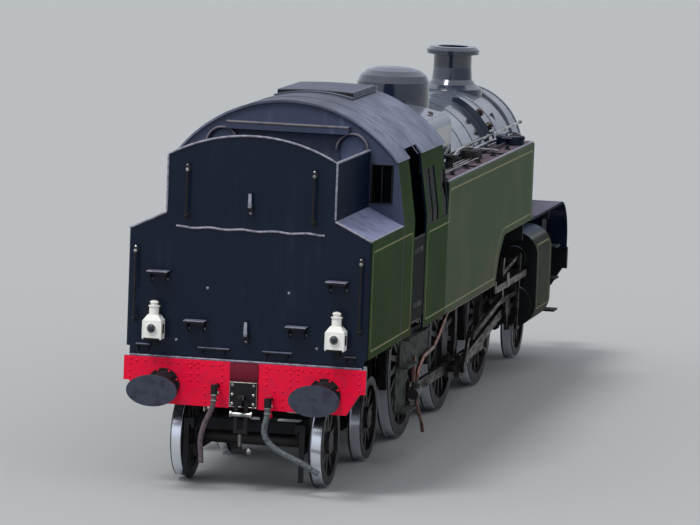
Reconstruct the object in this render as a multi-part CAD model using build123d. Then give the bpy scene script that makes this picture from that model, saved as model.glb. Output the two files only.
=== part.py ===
from build123d import *
import os
from math import atan2, cos, degrees, pi, radians, sin, sqrt, tan

os.makedirs("parts", exist_ok=True)

# Steam tank locomotive, in millimetres.
# The origin is at mid-length, on the centreline, at the floor under the wheel flanges.
# +X points to the chimney end, +Y to the left and +Z up.
# Heights in this file are above the rail head, and each piece is lifted by the flange depth as it is saved.

# Driving dimensions: track and wheels
FLANGE = 28
TYRE_IN = 680
TYRE_OUT = 823
BOSS_OUT = 845
COUPLED_R = 864
CARRYING_R = 457
CRANK = 355.6
AXLE_R = 100
PONY_X = 5564
LEADING_X = 2821
DRIVING_X = 484
TRAILING_X = -1853
BOGIE_FRONT_X = -3682
BOGIE_REAR_X = -5663
BOGIE_X = (BOGIE_FRONT_X + BOGIE_REAR_X) / 2
PONY_PIVOT_X = 3664

# Driving dimensions: frames, beams and buffers
BEAM_X = 6300
BUFFER_LENGTH = 531
BUFFER_Y = 870
BUFFER_Z = 1054
HALF_WIDTH = 1310
BEAM_TOP = 1340
BEAM_T = 60
FRAME_IN = 622
FRAME_OUT = 654
FRAME_TOP = 1330

# Driving dimensions: motion, as distances from the centreline
ROD_IN = 855
ROD_OUT = 915
PIN_END = 935
MAIN_PIN_END = 925
CON_ROD_LENGTH = 2761
CON_IN = 985
CON_OUT = 1055
CYLINDER_Y = 1020
CYLINDER_Z = COUPLED_R
CYLINDER_R = 290
CYLINDER_X0 = 3980
CYLINDER_X1 = 5020
PIN_GAP = 0.5
CHEST_Z = 1480
SPINDLE_Z = 1440
SPINDLE_X = 3545
LEVER_FOOT = 250
LINK_X = 2500
LINK_Z = 1330
GIRDER_IN = 1190
GIRDER_OUT = 1215

# Driving dimensions: boiler
BOILER_Z = 2670
SMOKEBOX_R = 790
SMOKEBOX_X0 = 4020
SMOKEBOX_X1 = 5500
BARREL_FRONT_R = 800
BARREL_BACK_R = 870
BARREL_BACK_X = 250
FIREBOX_HALF = 870
FIREBOX_TOP = 3620
FIREBOX_BACK_X = -2550
CHIMNEY_X = 4720
CHIMNEY_TOP = 3980
DOME_X = 1000
DOME_R = 436
DOME_TOP = 3980
TOP_FEED_X = 3300

# Driving dimensions: tanks, cab and bunker
PLATE_Z = 2000
TANK_IN = 900
TANK_X1 = 3440
TANK_TOP = 2950
TANK_BOTTOM = 1440
TANK_RAISED = 1985
FILLER_X = 2900
FILLER_Y = 1100
FILLER_TOP = TANK_TOP + 70
LID_HINGE_X = 2690
CAB_FRONT_X = -2060
CAB_BACK_X = -4570
SHEET = 25
WAIST_Z = 2700
EAVE_Y = 1210
EAVE_Z = 3395
ROOF_TOP = 3985
ROOF_SHEET = 22
VENT_X0 = -3300
VENT_X1 = -2150
VENT_HALF = 430
VENT_TOP = 4007
LEDGE_HALF = 680
LEDGE_LOW = 3655
LEDGE_HIGH = 3738
DOOR_X0 = -3970
DOOR_X1 = -3310
DOORWAY_TOP = 3470
SILL_Z = 2580
FLOOR_Z = 1570
BUNKER_X = -6250
SHOULDER_LOW = 2690
SHOULDER_HIGH = 2880
BUNKER_HALF = 910
BUNKER_CORNER_Z = 3490
BUNKER_APEX = 3726
# Windows in each cab side: rear edge, front edge, top
SIDE_WINDOWS = [(-3213, -2640, 3190), (-2381, -2110, 3100)]
# Windows in the cab ends: inner and outer distance from the centreline, sill, top
FRONT_WINDOW = (930, 1120, 3020, 3330)
REAR_WINDOW = (935, 1160, 2930, 3340)
# Arched windows above the bunker: distance from the centreline, sill, spring of the arch, half width
ARCH_Y = 720
ARCH_SILL = 3220
ARCH_SPRING = 3492
ARCH_HALF = 140
HOOD_R = 180

# Driving dimensions: fittings behind and below
LAMP_Y = 985
LAMP_FOOT = 1540
LAMP_SHOULDER = 1740
LAMP_NECK = 1800
LAMP_TOP = 1930
STEP_PANEL_Y = 1192
PIPE_Y = 1240
STAIR_Y = 1085
IRON_IN = 600
IRON_OUT = 655


def box(x0, x1, y0, y1, z0, z1):
    """A block between two corners."""
    middle = Pos((x0 + x1) / 2, (y0 + y1) / 2, (z0 + z1) / 2)
    return middle * Box(abs(x1 - x0), abs(y1 - y0), abs(z1 - z0))


def outline(points):
    """A closed face from steps: a pair is a corner, two pairs are an arc's middle and its end."""
    edges = []
    start = points[0]
    for step in points[1:] + [points[0]]:
        if isinstance(step[0], tuple):
            edges.append(ThreePointArc(start, step[0], step[1]))
            start = step[1]
        elif step != start:
            edges.append(Line(start, step))
            start = step
    return make_face(edges)


def side_plate(points, y0, y1):
    """A plate with its outline in X and Z, between two distances from the centreline."""
    return extrude(Plane.XZ.offset(-y1) * outline(points), y1 - y0)


def cross_plate(points, x0, x1):
    """A plate with its outline in Y and Z, between two stations."""
    return extrude(Plane.YZ.offset(x0) * outline(points), x1 - x0)


def flat_plate(points, z0, z1):
    """A plate with its outline in X and Y, between two heights."""
    return extrude(Plane.XY.offset(z0) * outline(points), z1 - z0)


def rod(start, end, radius):
    """A round bar between two points."""
    start = Vector(*start)
    along = Vector(*end) - start
    return extrude(Plane(start, z_dir=along) * Circle(radius), along.length)


def turned(profile, base, along):
    """A turned piece: pairs of distance along the axis and radius, closed on the axis."""
    closed = [(profile[0][0], 0)] + profile + [(profile[-1][0], 0)]
    axis = Vector(*along)
    across = Vector(0, 1, 0) if abs(axis.Y) < 0.5 else Vector(0, 0, 1)
    plane = Plane(base, x_dir=axis, z_dir=axis.cross(across))
    return revolve(plane * outline(closed), Axis(base, along))


def mirrored(piece):
    """The same piece on the other side of the centreline."""
    return mirror(piece, Plane.XZ)


def both_sides(piece):
    """A piece and its mirror image."""
    return [piece, mirrored(piece)]


def at_side(side, piece):
    """A piece drawn on the left, put on the side asked for: 1 is left and -1 is right."""
    return piece if side > 0 else mirrored(piece)


def save(name, *pieces):
    """Lift a node's solids by the flange depth and write them."""
    solids = [Pos(0, 0, FLANGE) * solid for piece in pieces for solid in piece.solids()]
    shape = solids[0] if len(solids) == 1 else Compound(solids)
    export_step(shape, f"parts/{name}.step")


# Wheels

def wheel(radius, spokes, hub_r, rim, boss_out):
    """A spoked wheel on the left side, with its axle at the origin."""
    tread = [
        (TYRE_IN, radius - rim),
        (TYRE_IN, radius + 12),
        (TYRE_IN + 10, radius + FLANGE),
        (TYRE_IN + 22, radius + FLANGE),
        (TYRE_IN + 33, radius + 3),
        (TYRE_OUT, radius - 3),
        (TYRE_OUT, radius - rim),
    ]
    tyre = revolve(Plane.YZ * outline(tread), Axis.Y)
    hub = rod((0, TYRE_IN - 20, 0), (0, boss_out, 0), hub_r)
    blades = []
    for number in range(spokes):
        foot = hub_r - 40
        tip = radius - rim + 12
        blade = side_plate([(-38, foot), (38, foot), (24, tip), (-24, tip)], TYRE_IN + 35, TYRE_OUT - 35)
        blades.append(Rot(0, number * 360 / spokes, 0) * blade)
    return tyre + hub + blades


def crank_disc(radius, rim, turn, pin_r, pin_end):
    """Crank boss, pin and balance weight for the left side, drawn with the crank to the front."""
    boss = side_plate([(0, 170), (CRANK, 118), ((CRANK + 118, 0), (CRANK, -118)), (0, -170)],
                      TYRE_IN - 20, BOSS_OUT)
    pin = rod((CRANK, BOSS_OUT - 20, 0), (CRANK, pin_end, 0), pin_r)
    spread = radians(38)
    outer = radius - rim + 10
    ends = [(-outer * cos(spread), outer * sin(spread)), (-outer * cos(spread), -outer * sin(spread))]
    weight = side_plate([ends[0], ((-outer, 0), ends[1])], TYRE_IN + 12, TYRE_OUT - 8)
    return Rot(0, turn, 0) * (boss + pin + weight)


def wheelset(name, x, pin_end, pin_r):
    """A coupled axle with two wheels: the left crank points forward and the right crank points down."""
    spoked = wheel(COUPLED_R, 18, 190, 130, BOSS_OUT)
    left = spoked + crank_disc(COUPLED_R, 130, 0, pin_r, pin_end)
    right = mirrored(spoked + crank_disc(COUPLED_R, 130, 90, pin_r, pin_end))
    axle = rod((0, -(TYRE_IN - 20), 0), (0, TYRE_IN - 20, 0), AXLE_R)
    place = Pos(x, 0, COUPLED_R)
    save(f"{name}_wheelset", place * left, place * right, place * axle)


PIN_R = 62
MAIN_PIN_R = 75
wheelset("leading", LEADING_X, PIN_END, PIN_R)
wheelset("driving", DRIVING_X, MAIN_PIN_END, MAIN_PIN_R)
wheelset("trailing", TRAILING_X, PIN_END, PIN_R)

for name, x in (("pony", PONY_X), ("bogie_front", BOGIE_FRONT_X), ("bogie_rear", BOGIE_REAR_X)):
    carrying = Pos(x, 0, CARRYING_R) * wheel(CARRYING_R, 10, 120, 95, TYRE_OUT + 4)
    axle = rod((x, -(TYRE_IN - 20), CARRYING_R), (x, TYRE_IN - 20, CARRYING_R), 80)
    save(f"{name}_wheelset", *both_sides(carrying), axle)


# Rods: the left crank is forward and the right crank is down

def crank_pin(side):
    """Offset of a crank pin from its axle."""
    return (CRANK, 0) if side > 0 else (0, -CRANK)


def coupling_rod(side):
    """The rod that joins three crank pins on one side."""
    dx, dz = crank_pin(side)
    z = COUPLED_R + dz
    xs = (TRAILING_X + dx, DRIVING_X + dx, LEADING_X + dx)
    bar = box(xs[0], xs[2], ROD_IN + 5, ROD_OUT - 5, z - 62, z + 62)
    for x, radius in zip(xs, (112, 130, 112)):
        bar += rod((x, ROD_IN, z), (x, ROD_OUT, z), radius)
    for x, radius in zip(xs, (PIN_R, MAIN_PIN_R, PIN_R)):
        bar -= rod((x, ROD_IN - 5, z), (x, ROD_OUT + 5, z), radius + PIN_GAP)
    return at_side(side, bar)


def crosshead_x(side):
    """Where the crosshead pin stands for the crank as it rests."""
    dx, dz = crank_pin(side)
    return DRIVING_X + dx + sqrt(CON_ROD_LENGTH**2 - dz**2)


def con_rod(side):
    """The connecting rod, with the crank-end pin stub and return crank that it carries."""
    shank = [(-CON_ROD_LENGTH, 70), (-CON_ROD_LENGTH, -70), (0, -55), (0, 55)]
    bar = side_plate(shank, CON_IN + 8, CON_OUT - 8)
    bar += rod((-CON_ROD_LENGTH, CON_IN, 0), (-CON_ROD_LENGTH, CON_OUT, 0), 138)
    bar += rod((0, CON_IN, 0), (0, CON_OUT, 0), 72)
    bar += rod((-CON_ROD_LENGTH, PIN_END - 3, 0), (-CON_ROD_LENGTH, CON_OUT + 5, 0), 70)
    bar -= rod((0, CON_IN - 5, 0), (0, CON_OUT + 5, 0), 40 + PIN_GAP)
    drop = -crank_pin(side)[1]
    lean = degrees(atan2(drop, sqrt(CON_ROD_LENGTH**2 - drop**2)))
    placed = Pos(crosshead_x(side), 0, CYLINDER_Z) * Rot(0, -lean, 0) * bar
    return at_side(side, placed)


CROSSHEAD_IN = 945
CROSSHEAD_OUT = 1095
PISTON_ROD_R = 38


def crosshead(side):
    """Forked crosshead under the slide bars, with its pin, piston rod, drop arm and union link."""
    x = crosshead_x(side)
    z = CYLINDER_Z
    shape = [(-130, 86), (-130, 131), (150, 131), (150, 55), (190, 50), (190, -50), (120, -60),
             ((0, -90), (-90, -20))]
    cheeks = [side_plate(shape, CROSSHEAD_IN, CON_IN - 5), side_plate(shape, CON_OUT + 5, CROSSHEAD_OUT)]
    slipper = box(-130, 150, CON_IN - 5, CON_OUT + 5, 86, 131)
    socket = box(120, 190, CON_IN - 5, CON_OUT + 5, -50, 50)
    pin = rod((0, CROSSHEAD_IN, 0), (0, CROSSHEAD_OUT, 0), 40)
    piston_rod = rod((150, CYLINDER_Y, 0), (1110, CYLINDER_Y, 0), PISTON_ROD_R)
    arm = side_plate([(-45, -50), (45, -50), (30, -235), (-30, -235)], CROSSHEAD_OUT - 30, CROSSHEAD_OUT)
    reach = LEVER_FOOT + 25
    union = side_plate([(-28, -232), (reach, -232), (reach, -188), (-28, -188)], 1100, 1130)
    union += rod((0, CROSSHEAD_OUT - 30, -210), (0, 1134, -210), 20)
    head = cheeks[0] + cheeks[1] + slipper + socket + pin + piston_rod + arm + union
    return at_side(side, Pos(x, 0, z) * head)


for side, word in ((1, "left"), (-1, "right")):
    save(f"coupling_rod_{word}", coupling_rod(side))
    save(f"con_rod_{word}", con_rod(side))
    save(f"crosshead_{word}", crosshead(side))


# Cylinders and the fixed part of the motion

def cylinder_block():
    """Cylinder and valve chest in one casing on the left side, joined to the frame."""
    z = CYLINDER_Z
    inner = CYLINDER_Y - CYLINDER_R
    outer = CYLINDER_Y + CYLINDER_R
    section = [(inner, z), ((CYLINDER_Y, z - CYLINDER_R), (outer, z)), (outer, CHEST_Z),
               ((CYLINDER_Y, CHEST_Z + CYLINDER_R), (inner, CHEST_Z))]
    clothing = cross_plate(section, CYLINDER_X0, CYLINDER_X1)
    x0 = CYLINDER_X0 - 60
    x1 = CYLINDER_X1 + 60
    covers = rod((x0, CYLINDER_Y, z), (x1, CYLINDER_Y, z), 235)
    covers += rod((x0, CYLINDER_Y, SPINDLE_Z), (x1, CYLINDER_Y, SPINDLE_Z), 150)
    web = box(CYLINDER_X0 + 60, CYLINDER_X1 - 60, FRAME_OUT, CYLINDER_Y, z, 1400)
    block = clothing + covers + web
    return block - rod((CYLINDER_X0 - 80, CYLINDER_Y, z), (4780, CYLINDER_Y, z), PISTON_ROD_R + 2)


save("cylinders", *both_sides(cylinder_block()))

bars = [box(2700, CYLINDER_X0 - 60, y0, y1, 1000, 1060)
        for y0, y1 in ((CROSSHEAD_IN, 972), (1068, CROSSHEAD_OUT))]
bracket = box(3735, 3790, FRAME_OUT, CROSSHEAD_OUT, 1060, 1330)
girder = box(1660, 3790, GIRDER_IN, GIRDER_OUT, 1250, 1330)
girder += box(LINK_X - 60, LINK_X + 100, GIRDER_IN, GIRDER_OUT, 1240, 1420)
girder += box(3735, 3790, CROSSHEAD_OUT - 5, GIRDER_OUT, 1250, 1330)
girder += box(1660, 1740, GIRDER_IN, GIRDER_OUT, 1330, 1400)
save("slide_bars", *both_sides(bracket + bars + girder))


def bar_between(start, end, half_start, half_end, y0, y1):
    """A flat bar between two pins, given in X and Z, with round ends."""
    along = atan2(end[1] - start[1], end[0] - start[0])
    across = (-sin(along), cos(along))
    corners = []
    for point, half in ((start, half_start), (end, half_end)):
        for sign in ((1, -1) if point is start else (-1, 1)):
            corners.append((point[0] + sign * half * across[0], point[1] + sign * half * across[1]))
    bar = side_plate(corners, y0, y1)
    for point, half in ((start, half_start), (end, half_end)):
        bar += rod((point[0], y0, point[1]), (point[0], y1, point[1]), half + 18)
    return bar


def valve_gear(side):
    """Return crank, eccentric rod, expansion link, radius rod, combination lever and valve spindle."""
    dx, dz = crank_pin(side)
    pin = (DRIVING_X + dx, COUPLED_R + dz)
    eccentric = (500, 1095) if side > 0 else (724, COUPLED_R)
    foot = (LINK_X + 20, 1085)
    top = (SPINDLE_X, 1510)
    gear = bar_between(pin, eccentric, 52, 36, 1068, 1100)
    gear += bar_between(eccentric, foot, 34, 28, 1110, 1150)
    gear += rod((eccentric[0], 1068, eccentric[1]), (eccentric[0], 1156, eccentric[1]), 30)
    gear += side_plate([(LINK_X + 45, 1060), ((LINK_X, LINK_Z), (LINK_X + 45, 1590)), (LINK_X + 120, 1590),
                        ((LINK_X + 75, LINK_Z), (LINK_X + 120, 1060))], 1110, 1150)
    gear += rod((LINK_X + 38, 1110, LINK_Z), (LINK_X + 38, GIRDER_IN, LINK_Z), 40)
    gear += bar_between((LINK_X + 40, 1400), top, 26, 22, 1115, 1145)
    gear += bar_between(top, (crosshead_x(side) + LEVER_FOOT, 655), 24, 20, 1150, 1180)
    gear += rod((top[0], 1115, top[1]), (top[0], 1185, top[1]), 22)
    gear += rod((SPINDLE_X + 20, CYLINDER_Y - 30, SPINDLE_Z), (SPINDLE_X + 20, 1185, SPINDLE_Z), 24)
    gear += rod((SPINDLE_X - 20, CYLINDER_Y, SPINDLE_Z), (CYLINDER_X0 - 60, CYLINDER_Y, SPINDLE_Z), 25)
    return at_side(side, gear)


save("valve_gear_left", valve_gear(1))
save("valve_gear_right", valve_gear(-1))


# Main frames: two plates, with holes round the coupled axles and arches over the carrying wheels

frame_shape = [
    (-6240, 1000), (-2950, 1000), (-2800, 560), (3850, 560), (4000, 700), (4950, 700),
    (5050, 1000), (6240, 1000), (6240, FRAME_TOP), (-6240, FRAME_TOP),
]
frame_plate = side_plate(frame_shape, FRAME_IN, FRAME_OUT)
for x in (LEADING_X, DRIVING_X, TRAILING_X):
    frame_plate -= rod((x, FRAME_IN - 5, COUPLED_R), (x, FRAME_OUT + 5, COUPLED_R), AXLE_R + 12)
save("main_frames", *both_sides(frame_plate))

# Stretchers between the frame plates: station, length, bottom
stretchers = [
    (-5900, 200, 1080), (BOGIE_X, 700, 1010), (-3100, 80, 1010), (-2300, 60, 1010),
    (1700, 80, 1000), (3450, 80, 1000), (4500, 900, 1000), (5900, 200, 1080),
]
cross_pieces = [box(x - size / 2, x + size / 2, -FRAME_IN, FRAME_IN, low, 1300)
                for x, size, low in stretchers]

# Outriggers that carry the tanks, cab and bunker: station, foot, top
outriggers = [
    (-6000, FRAME_TOP, TANK_BOTTOM), (-5200, FRAME_TOP, TANK_BOTTOM), (-4400, FRAME_TOP, TANK_BOTTOM),
    (-2950, FRAME_TOP, TANK_BOTTOM), (-680, 1355, TANK_BOTTOM), (1700, 1355, TANK_RAISED),
]
for x, foot, head in outriggers:
    cross_pieces += both_sides(box(x - 40, x + 40, FRAME_IN, GIRDER_IN, foot, head))
# Brackets that carry the high running plate: station, height of the arm
for x, arm in ((3470, 1720), (5350, 1800)):
    cross_pieces += both_sides(box(x - 20, x + 20, FRAME_IN, FRAME_OUT, FRAME_TOP, PLATE_Z - 30)
                               + box(x - 20, x + 20, FRAME_IN, 1200, arm, PLATE_Z - 30))
# Pads that carry the firebox on the frames
for x in (-1400, -100):
    cross_pieces += both_sides(box(x - 90, x + 90, 590, FRAME_OUT, FRAME_TOP, 1430))
save("frame_stretchers", *cross_pieces)


# Buffer beams, buffers and couplings

def beam(end):
    """A beam plate with its lower corners cut back: end is 1 at the front and -1 at the rear."""
    shape = [(-1310, BEAM_TOP), (-1310, 1080), (-1250, 1080), (-1110, 850), (1110, 850), (1250, 1080),
             (1310, 1080), (1310, BEAM_TOP)]
    faces = sorted((end * BEAM_X, end * (BEAM_X - BEAM_T)))
    return cross_plate(shape, faces[0], faces[1])


save("buffer_beams", beam(1), beam(-1))

housing_profile = [(0, 175), (25, 175), (25, 150), (60, 135), (300, 112), (330, 112), (330, 62), (495, 62)]
housings = []
heads = []
for end in (1, -1):
    for side in (1, -1):
        base = (end * BEAM_X, side * BUFFER_Y, BUFFER_Z)
        housings.append(turned(housing_profile, base, (end, 0, 0)))
        face = Plane((end * (BEAM_X + 495), side * BUFFER_Y, BUFFER_Z), x_dir=(0, 1, 0), z_dir=(end, 0, 0))
        heads.append(extrude(face * Ellipse(272, 165), BUFFER_LENGTH - 495))
save("buffer_housings", *housings)
save("buffer_heads", *heads)

hooks = []
for end in (1, -1):
    hook = [(0, 1000), (0, 890), (90, 890), (170, 905), (185, 990), (150, 1010), (145, 960), (95, 950),
            (60, 1000)]
    hook = [(end * (BEAM_X + x), z) for x, z in hook]
    plate = box(end * BEAM_X, end * (BEAM_X + 20), -150, 150, 865, 1135)
    plate += side_plate(hook, -22, 22)
    shackle = box(end * (BEAM_X + 75), end * (BEAM_X + 105), -75, -35, 640, 950)
    shackle += box(end * (BEAM_X + 75), end * (BEAM_X + 105), 35, 75, 640, 950)
    shackle += box(end * (BEAM_X + 75), end * (BEAM_X + 105), -75, 75, 600, 640)
    shackle += rod((end * (BEAM_X + 90), 0, 620), (end * (BEAM_X + 90), 0, 430), 22)
    shackle += box(end * (BEAM_X + 75), end * (BEAM_X + 105), -90, 90, 400, 435)
    hooks.append(plate + shackle)
save("drawgear", *hooks)


# Running plate ahead of the tanks, with the drop plate above the front beam

DROP_X = 5640
DROP_END = 6200
DROP_FOOT = 1500
PLATE_T = 30
plate_line = [
    (TANK_X1, PLATE_Z), (DROP_X, PLATE_Z), ((6036, 1846), (DROP_END, DROP_FOOT)), (DROP_END, BEAM_TOP + 15),
    (BEAM_X, BEAM_TOP + 15), (BEAM_X, BEAM_TOP), (DROP_END - PLATE_T, BEAM_TOP),
    (DROP_END - PLATE_T, DROP_FOOT), ((6015, 1825), (DROP_X, PLATE_Z - PLATE_T)),
    (TANK_X1, PLATE_Z - PLATE_T),
]
running = side_plate(plate_line, -HALF_WIDTH, HALF_WIDTH)
running -= box(TANK_X1 - 10, SMOKEBOX_X1 + 60, -560, 560, PLATE_Z - 40, PLATE_Z + 10)
save("running_plate", running)

# Steps ahead of the cylinders: a hanger plate and three treads on each side
front_steps = []
for side in (1, -1):
    inner = side * STAIR_Y
    outer = side * (STAIR_Y + 15)
    flight = box(5500, 5780, inner, outer, 600, 1860)
    for z in (600, 1010, 1420):
        flight += box(5500, 5780, outer, side * 1290, z, z + 22)
    flight += box(5500, 5620, inner, outer, 1850, PLATE_Z - PLATE_T)
    front_steps.append(flight)
save("front_steps", *front_steps)


# Boiler, smokebox and firebox

smokebox = rod((SMOKEBOX_X0, 0, BOILER_Z), (SMOKEBOX_X1, 0, BOILER_Z), SMOKEBOX_R)
smokebox -= rod((SMOKEBOX_X0 + 40, 0, BOILER_Z), (SMOKEBOX_X1 - 30, 0, BOILER_Z), SMOKEBOX_R - 30)
smokebox -= rod((SMOKEBOX_X1 - 40, 0, BOILER_Z), (SMOKEBOX_X1 + 10, 0, BOILER_Z), 600)
saddle = box(4080, 4980, -560, 560, 1300, 2100) - rod((4000, 0, BOILER_Z), (5060, 0, BOILER_Z), SMOKEBOX_R)
save("smokebox", smokebox + saddle)

DOOR_R = 650
HINGE_Y = 735
door_profile = [(0, DOOR_R), (30, DOOR_R), (60, DOOR_R - 80), (100, 300), (110, 60), (170, 50)]
door = turned(door_profile, (SMOKEBOX_X1 + 2, 0, BOILER_Z), (1, 0, 0))
straps = [box(SMOKEBOX_X1 + 20, SMOKEBOX_X1 + 62, 300, HINGE_Y, z - 35, z + 35) for z in (2420, 2920)]
hinge_pin = rod((SMOKEBOX_X1 + 41, HINGE_Y, 2360), (SMOKEBOX_X1 + 41, HINGE_Y, 2980), 22)
save("smokebox_door", door + straps + hinge_pin)

barrel_profile = [(0, BARREL_BACK_R), (2400 - BARREL_BACK_X, BARREL_FRONT_R),
                  (SMOKEBOX_X0 - BARREL_BACK_X, BARREL_FRONT_R)]
save("boiler", turned(barrel_profile, (BARREL_BACK_X, 0, BOILER_Z), (1, 0, 0)))

half = FIREBOX_HALF
firebox_shape = [
    (-half, 3380), ((-half + 40, 3480), (-half + 140, 3530)), ((0, FIREBOX_TOP), (half - 140, 3530)),
    ((half - 40, 3480), (half, 3380)), (half, 2250), (590, 1860), (590, 1420), (-590, 1420), (-590, 1860),
    (-half, 2250),
]
firebox = cross_plate(firebox_shape, FIREBOX_BACK_X, BARREL_BACK_X)
save("firebox", firebox)

save("ashpan", box(-1700, 330, -540, 540, 960, 1420))

chimney_profile = [
    (3200, 400), (3455, 385), (3510, 300), (3570, 252), (3720, 240), (3872, 240), (3888, 327), (3945, 327),
    (CHIMNEY_TOP, 290),
]
chimney = turned(chimney_profile, (CHIMNEY_X, 0, 0), (0, 0, 1))
chimney -= rod((SMOKEBOX_X0, 0, BOILER_Z), (SMOKEBOX_X1, 0, BOILER_Z), SMOKEBOX_R)
chimney -= rod((CHIMNEY_X, 0, 3500), (CHIMNEY_X, 0, CHIMNEY_TOP + 10), 190)
save("chimney", chimney)

dome_profile = [
    (3100, DOME_R), (3600, DOME_R), (3800, 428), (3880, 392), (3935, 318), (3968, 200), (DOME_TOP, 60),
]
dome = turned(dome_profile, (DOME_X, 0, 0), (0, 0, 1))
dome -= turned(barrel_profile, (BARREL_BACK_X, 0, BOILER_Z), (1, 0, 0))
save("dome", dome)

valves = []
for x in (-350, -600):
    valves.append(turned([(3600, 70), (3780, 70), (3790, 90), (3840, 90)], (x, 0, 0), (0, 0, 1)) - firebox)

# Top feed: a casing over each shoulder of the barrel
for side in (1, -1):
    casing = rod((TOP_FEED_X - 80, 0, BOILER_Z), (TOP_FEED_X + 80, 0, BOILER_Z), BARREL_FRONT_R + 75)
    casing &= box(TOP_FEED_X - 100, TOP_FEED_X + 100, side * 300, side * 780, 2900, 3460)
    casing -= turned(barrel_profile, (BARREL_BACK_X, 0, BOILER_Z), (1, 0, 0))
    valves.append(casing)
save("boiler_valves", *valves)


# Side tanks: the front lower corner is cut away over the motion

tank_shape = [
    (CAB_FRONT_X, TANK_BOTTOM), (1100, TANK_BOTTOM), ((1265, 1715), (1630, TANK_RAISED)),
    (TANK_X1, TANK_RAISED), (TANK_X1, TANK_TOP), (CAB_FRONT_X, TANK_TOP),
]
tank = side_plate(tank_shape, TANK_IN, HALF_WIDTH)
tank = fillet(tank.edges().filter_by(Axis.X).group_by(Axis.Z)[-1].sort_by(Axis.Y)[-1], 30)
tank += rod((FILLER_X, FILLER_Y, TANK_TOP - 5), (FILLER_X, FILLER_Y, FILLER_TOP), 172)
tank -= rod((FILLER_X, FILLER_Y, FILLER_TOP - 62), (FILLER_X, FILLER_Y, FILLER_TOP + 5), 150)
save("side_tanks", *both_sides(tank))
for side, word in ((1, "left"), (-1, "right")):
    lid = rod((FILLER_X, FILLER_Y, FILLER_TOP + 2), (FILLER_X, FILLER_Y, FILLER_TOP + 30), 180)
    ear = LID_HINGE_X + 60
    lid += box(LID_HINGE_X - 10, ear, FILLER_Y - 40, FILLER_Y + 40, FILLER_TOP + 4, FILLER_TOP + 28)
    pin_z = FILLER_TOP + 16
    lid += rod((LID_HINGE_X, FILLER_Y - 60, pin_z), (LID_HINGE_X, FILLER_Y + 60, pin_z), 14)
    save(f"tank_lid_{word}", at_side(side, lid))


# Cab

# Each side sheet leans in above the waist
side_shape = [(1285, TANK_BOTTOM), (HALF_WIDTH, TANK_BOTTOM), (HALF_WIDTH, WAIST_Z), (EAVE_Y, EAVE_Z - 20),
              (EAVE_Y - 25, EAVE_Z - 20), (1285, WAIST_Z)]
cab_side = cross_plate(side_shape, CAB_BACK_X + SHEET, CAB_FRONT_X - SHEET)
cab_side -= box(DOOR_X0, DOOR_X1, 1000, 1400, TANK_BOTTOM - 10, DOORWAY_TOP)
for x0, x1, top in SIDE_WINDOWS:
    cab_side -= box(x0, x1, 1000, 1400, SILL_Z, top)
save("cab_sides", *both_sides(cab_side))

crown = (0, ROOF_TOP - ROOF_SHEET - 2)
plate_shape = [(-HALF_WIDTH, TANK_BOTTOM), (-HALF_WIDTH, WAIST_Z), (-EAVE_Y, EAVE_Z - 20),
               (crown, (EAVE_Y, EAVE_Z - 20)), (HALF_WIDTH, WAIST_Z), (HALF_WIDTH, TANK_BOTTOM)]
front_plate = cross_plate(plate_shape, CAB_FRONT_X - SHEET, CAB_FRONT_X)
front_plate -= cross_plate(firebox_shape, CAB_FRONT_X - 40, CAB_FRONT_X + 10)
front_plate -= box(CAB_FRONT_X - 40, CAB_FRONT_X + 10, -FRAME_OUT, FRAME_OUT, TANK_BOTTOM - 10, 1500)
for side in (1, -1):
    front_plate -= box(CAB_FRONT_X - 40, CAB_FRONT_X + 10, side * 665, side * 860, TANK_BOTTOM - 10, 1775)
    inner, outer, sill, top = FRONT_WINDOW
    front_plate -= box(CAB_FRONT_X - 40, CAB_FRONT_X + 10, side * inner, side * outer, sill, top)
save("cab_front_plate", front_plate)



def arch(y, half, low, spring):
    """The outline of an arched window, in Y and Z."""
    return [(y - half, low), (y - half, spring), ((y, spring + half), (y + half, spring)), (y + half, low)]


back_plate = cross_plate(plate_shape, CAB_BACK_X, CAB_BACK_X + SHEET)
# A ledge across the back under the roof, and a rain hood over each arched window
back_plate += box(CAB_BACK_X - 110, CAB_BACK_X + 5, -LEDGE_HALF, LEDGE_HALF, LEDGE_LOW, LEDGE_HIGH)
for side in (1, -1):
    y = side * ARCH_Y
    hood = cross_plate(arch(y, HOOD_R, ARCH_SPRING, ARCH_SPRING), CAB_BACK_X - 80, CAB_BACK_X + 5)
    hood -= cross_plate(arch(y, HOOD_R - 20, ARCH_SPRING - 10, ARCH_SPRING), CAB_BACK_X - 90, CAB_BACK_X)
    back_plate += hood
for side in (1, -1):
    inner, outer, sill, top = REAR_WINDOW
    back_plate -= box(CAB_BACK_X - 10, CAB_BACK_X + 40, side * inner, side * outer, sill, top)
    pane_shape = arch(side * ARCH_Y, ARCH_HALF, ARCH_SILL, ARCH_SPRING)
    back_plate -= cross_plate(pane_shape, CAB_BACK_X - 80, CAB_BACK_X + 40)
save("cab_back_plate", back_plate)

roof_shape = [(-EAVE_Y - 20, EAVE_Z - 20), ((0, ROOF_TOP), (EAVE_Y + 20, EAVE_Z - 20)),
              (EAVE_Y, EAVE_Z - 20), ((0, ROOF_TOP - ROOF_SHEET), (-EAVE_Y, EAVE_Z - 20))]
roof = cross_plate(roof_shape, CAB_BACK_X - 30, CAB_FRONT_X + 60)
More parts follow.
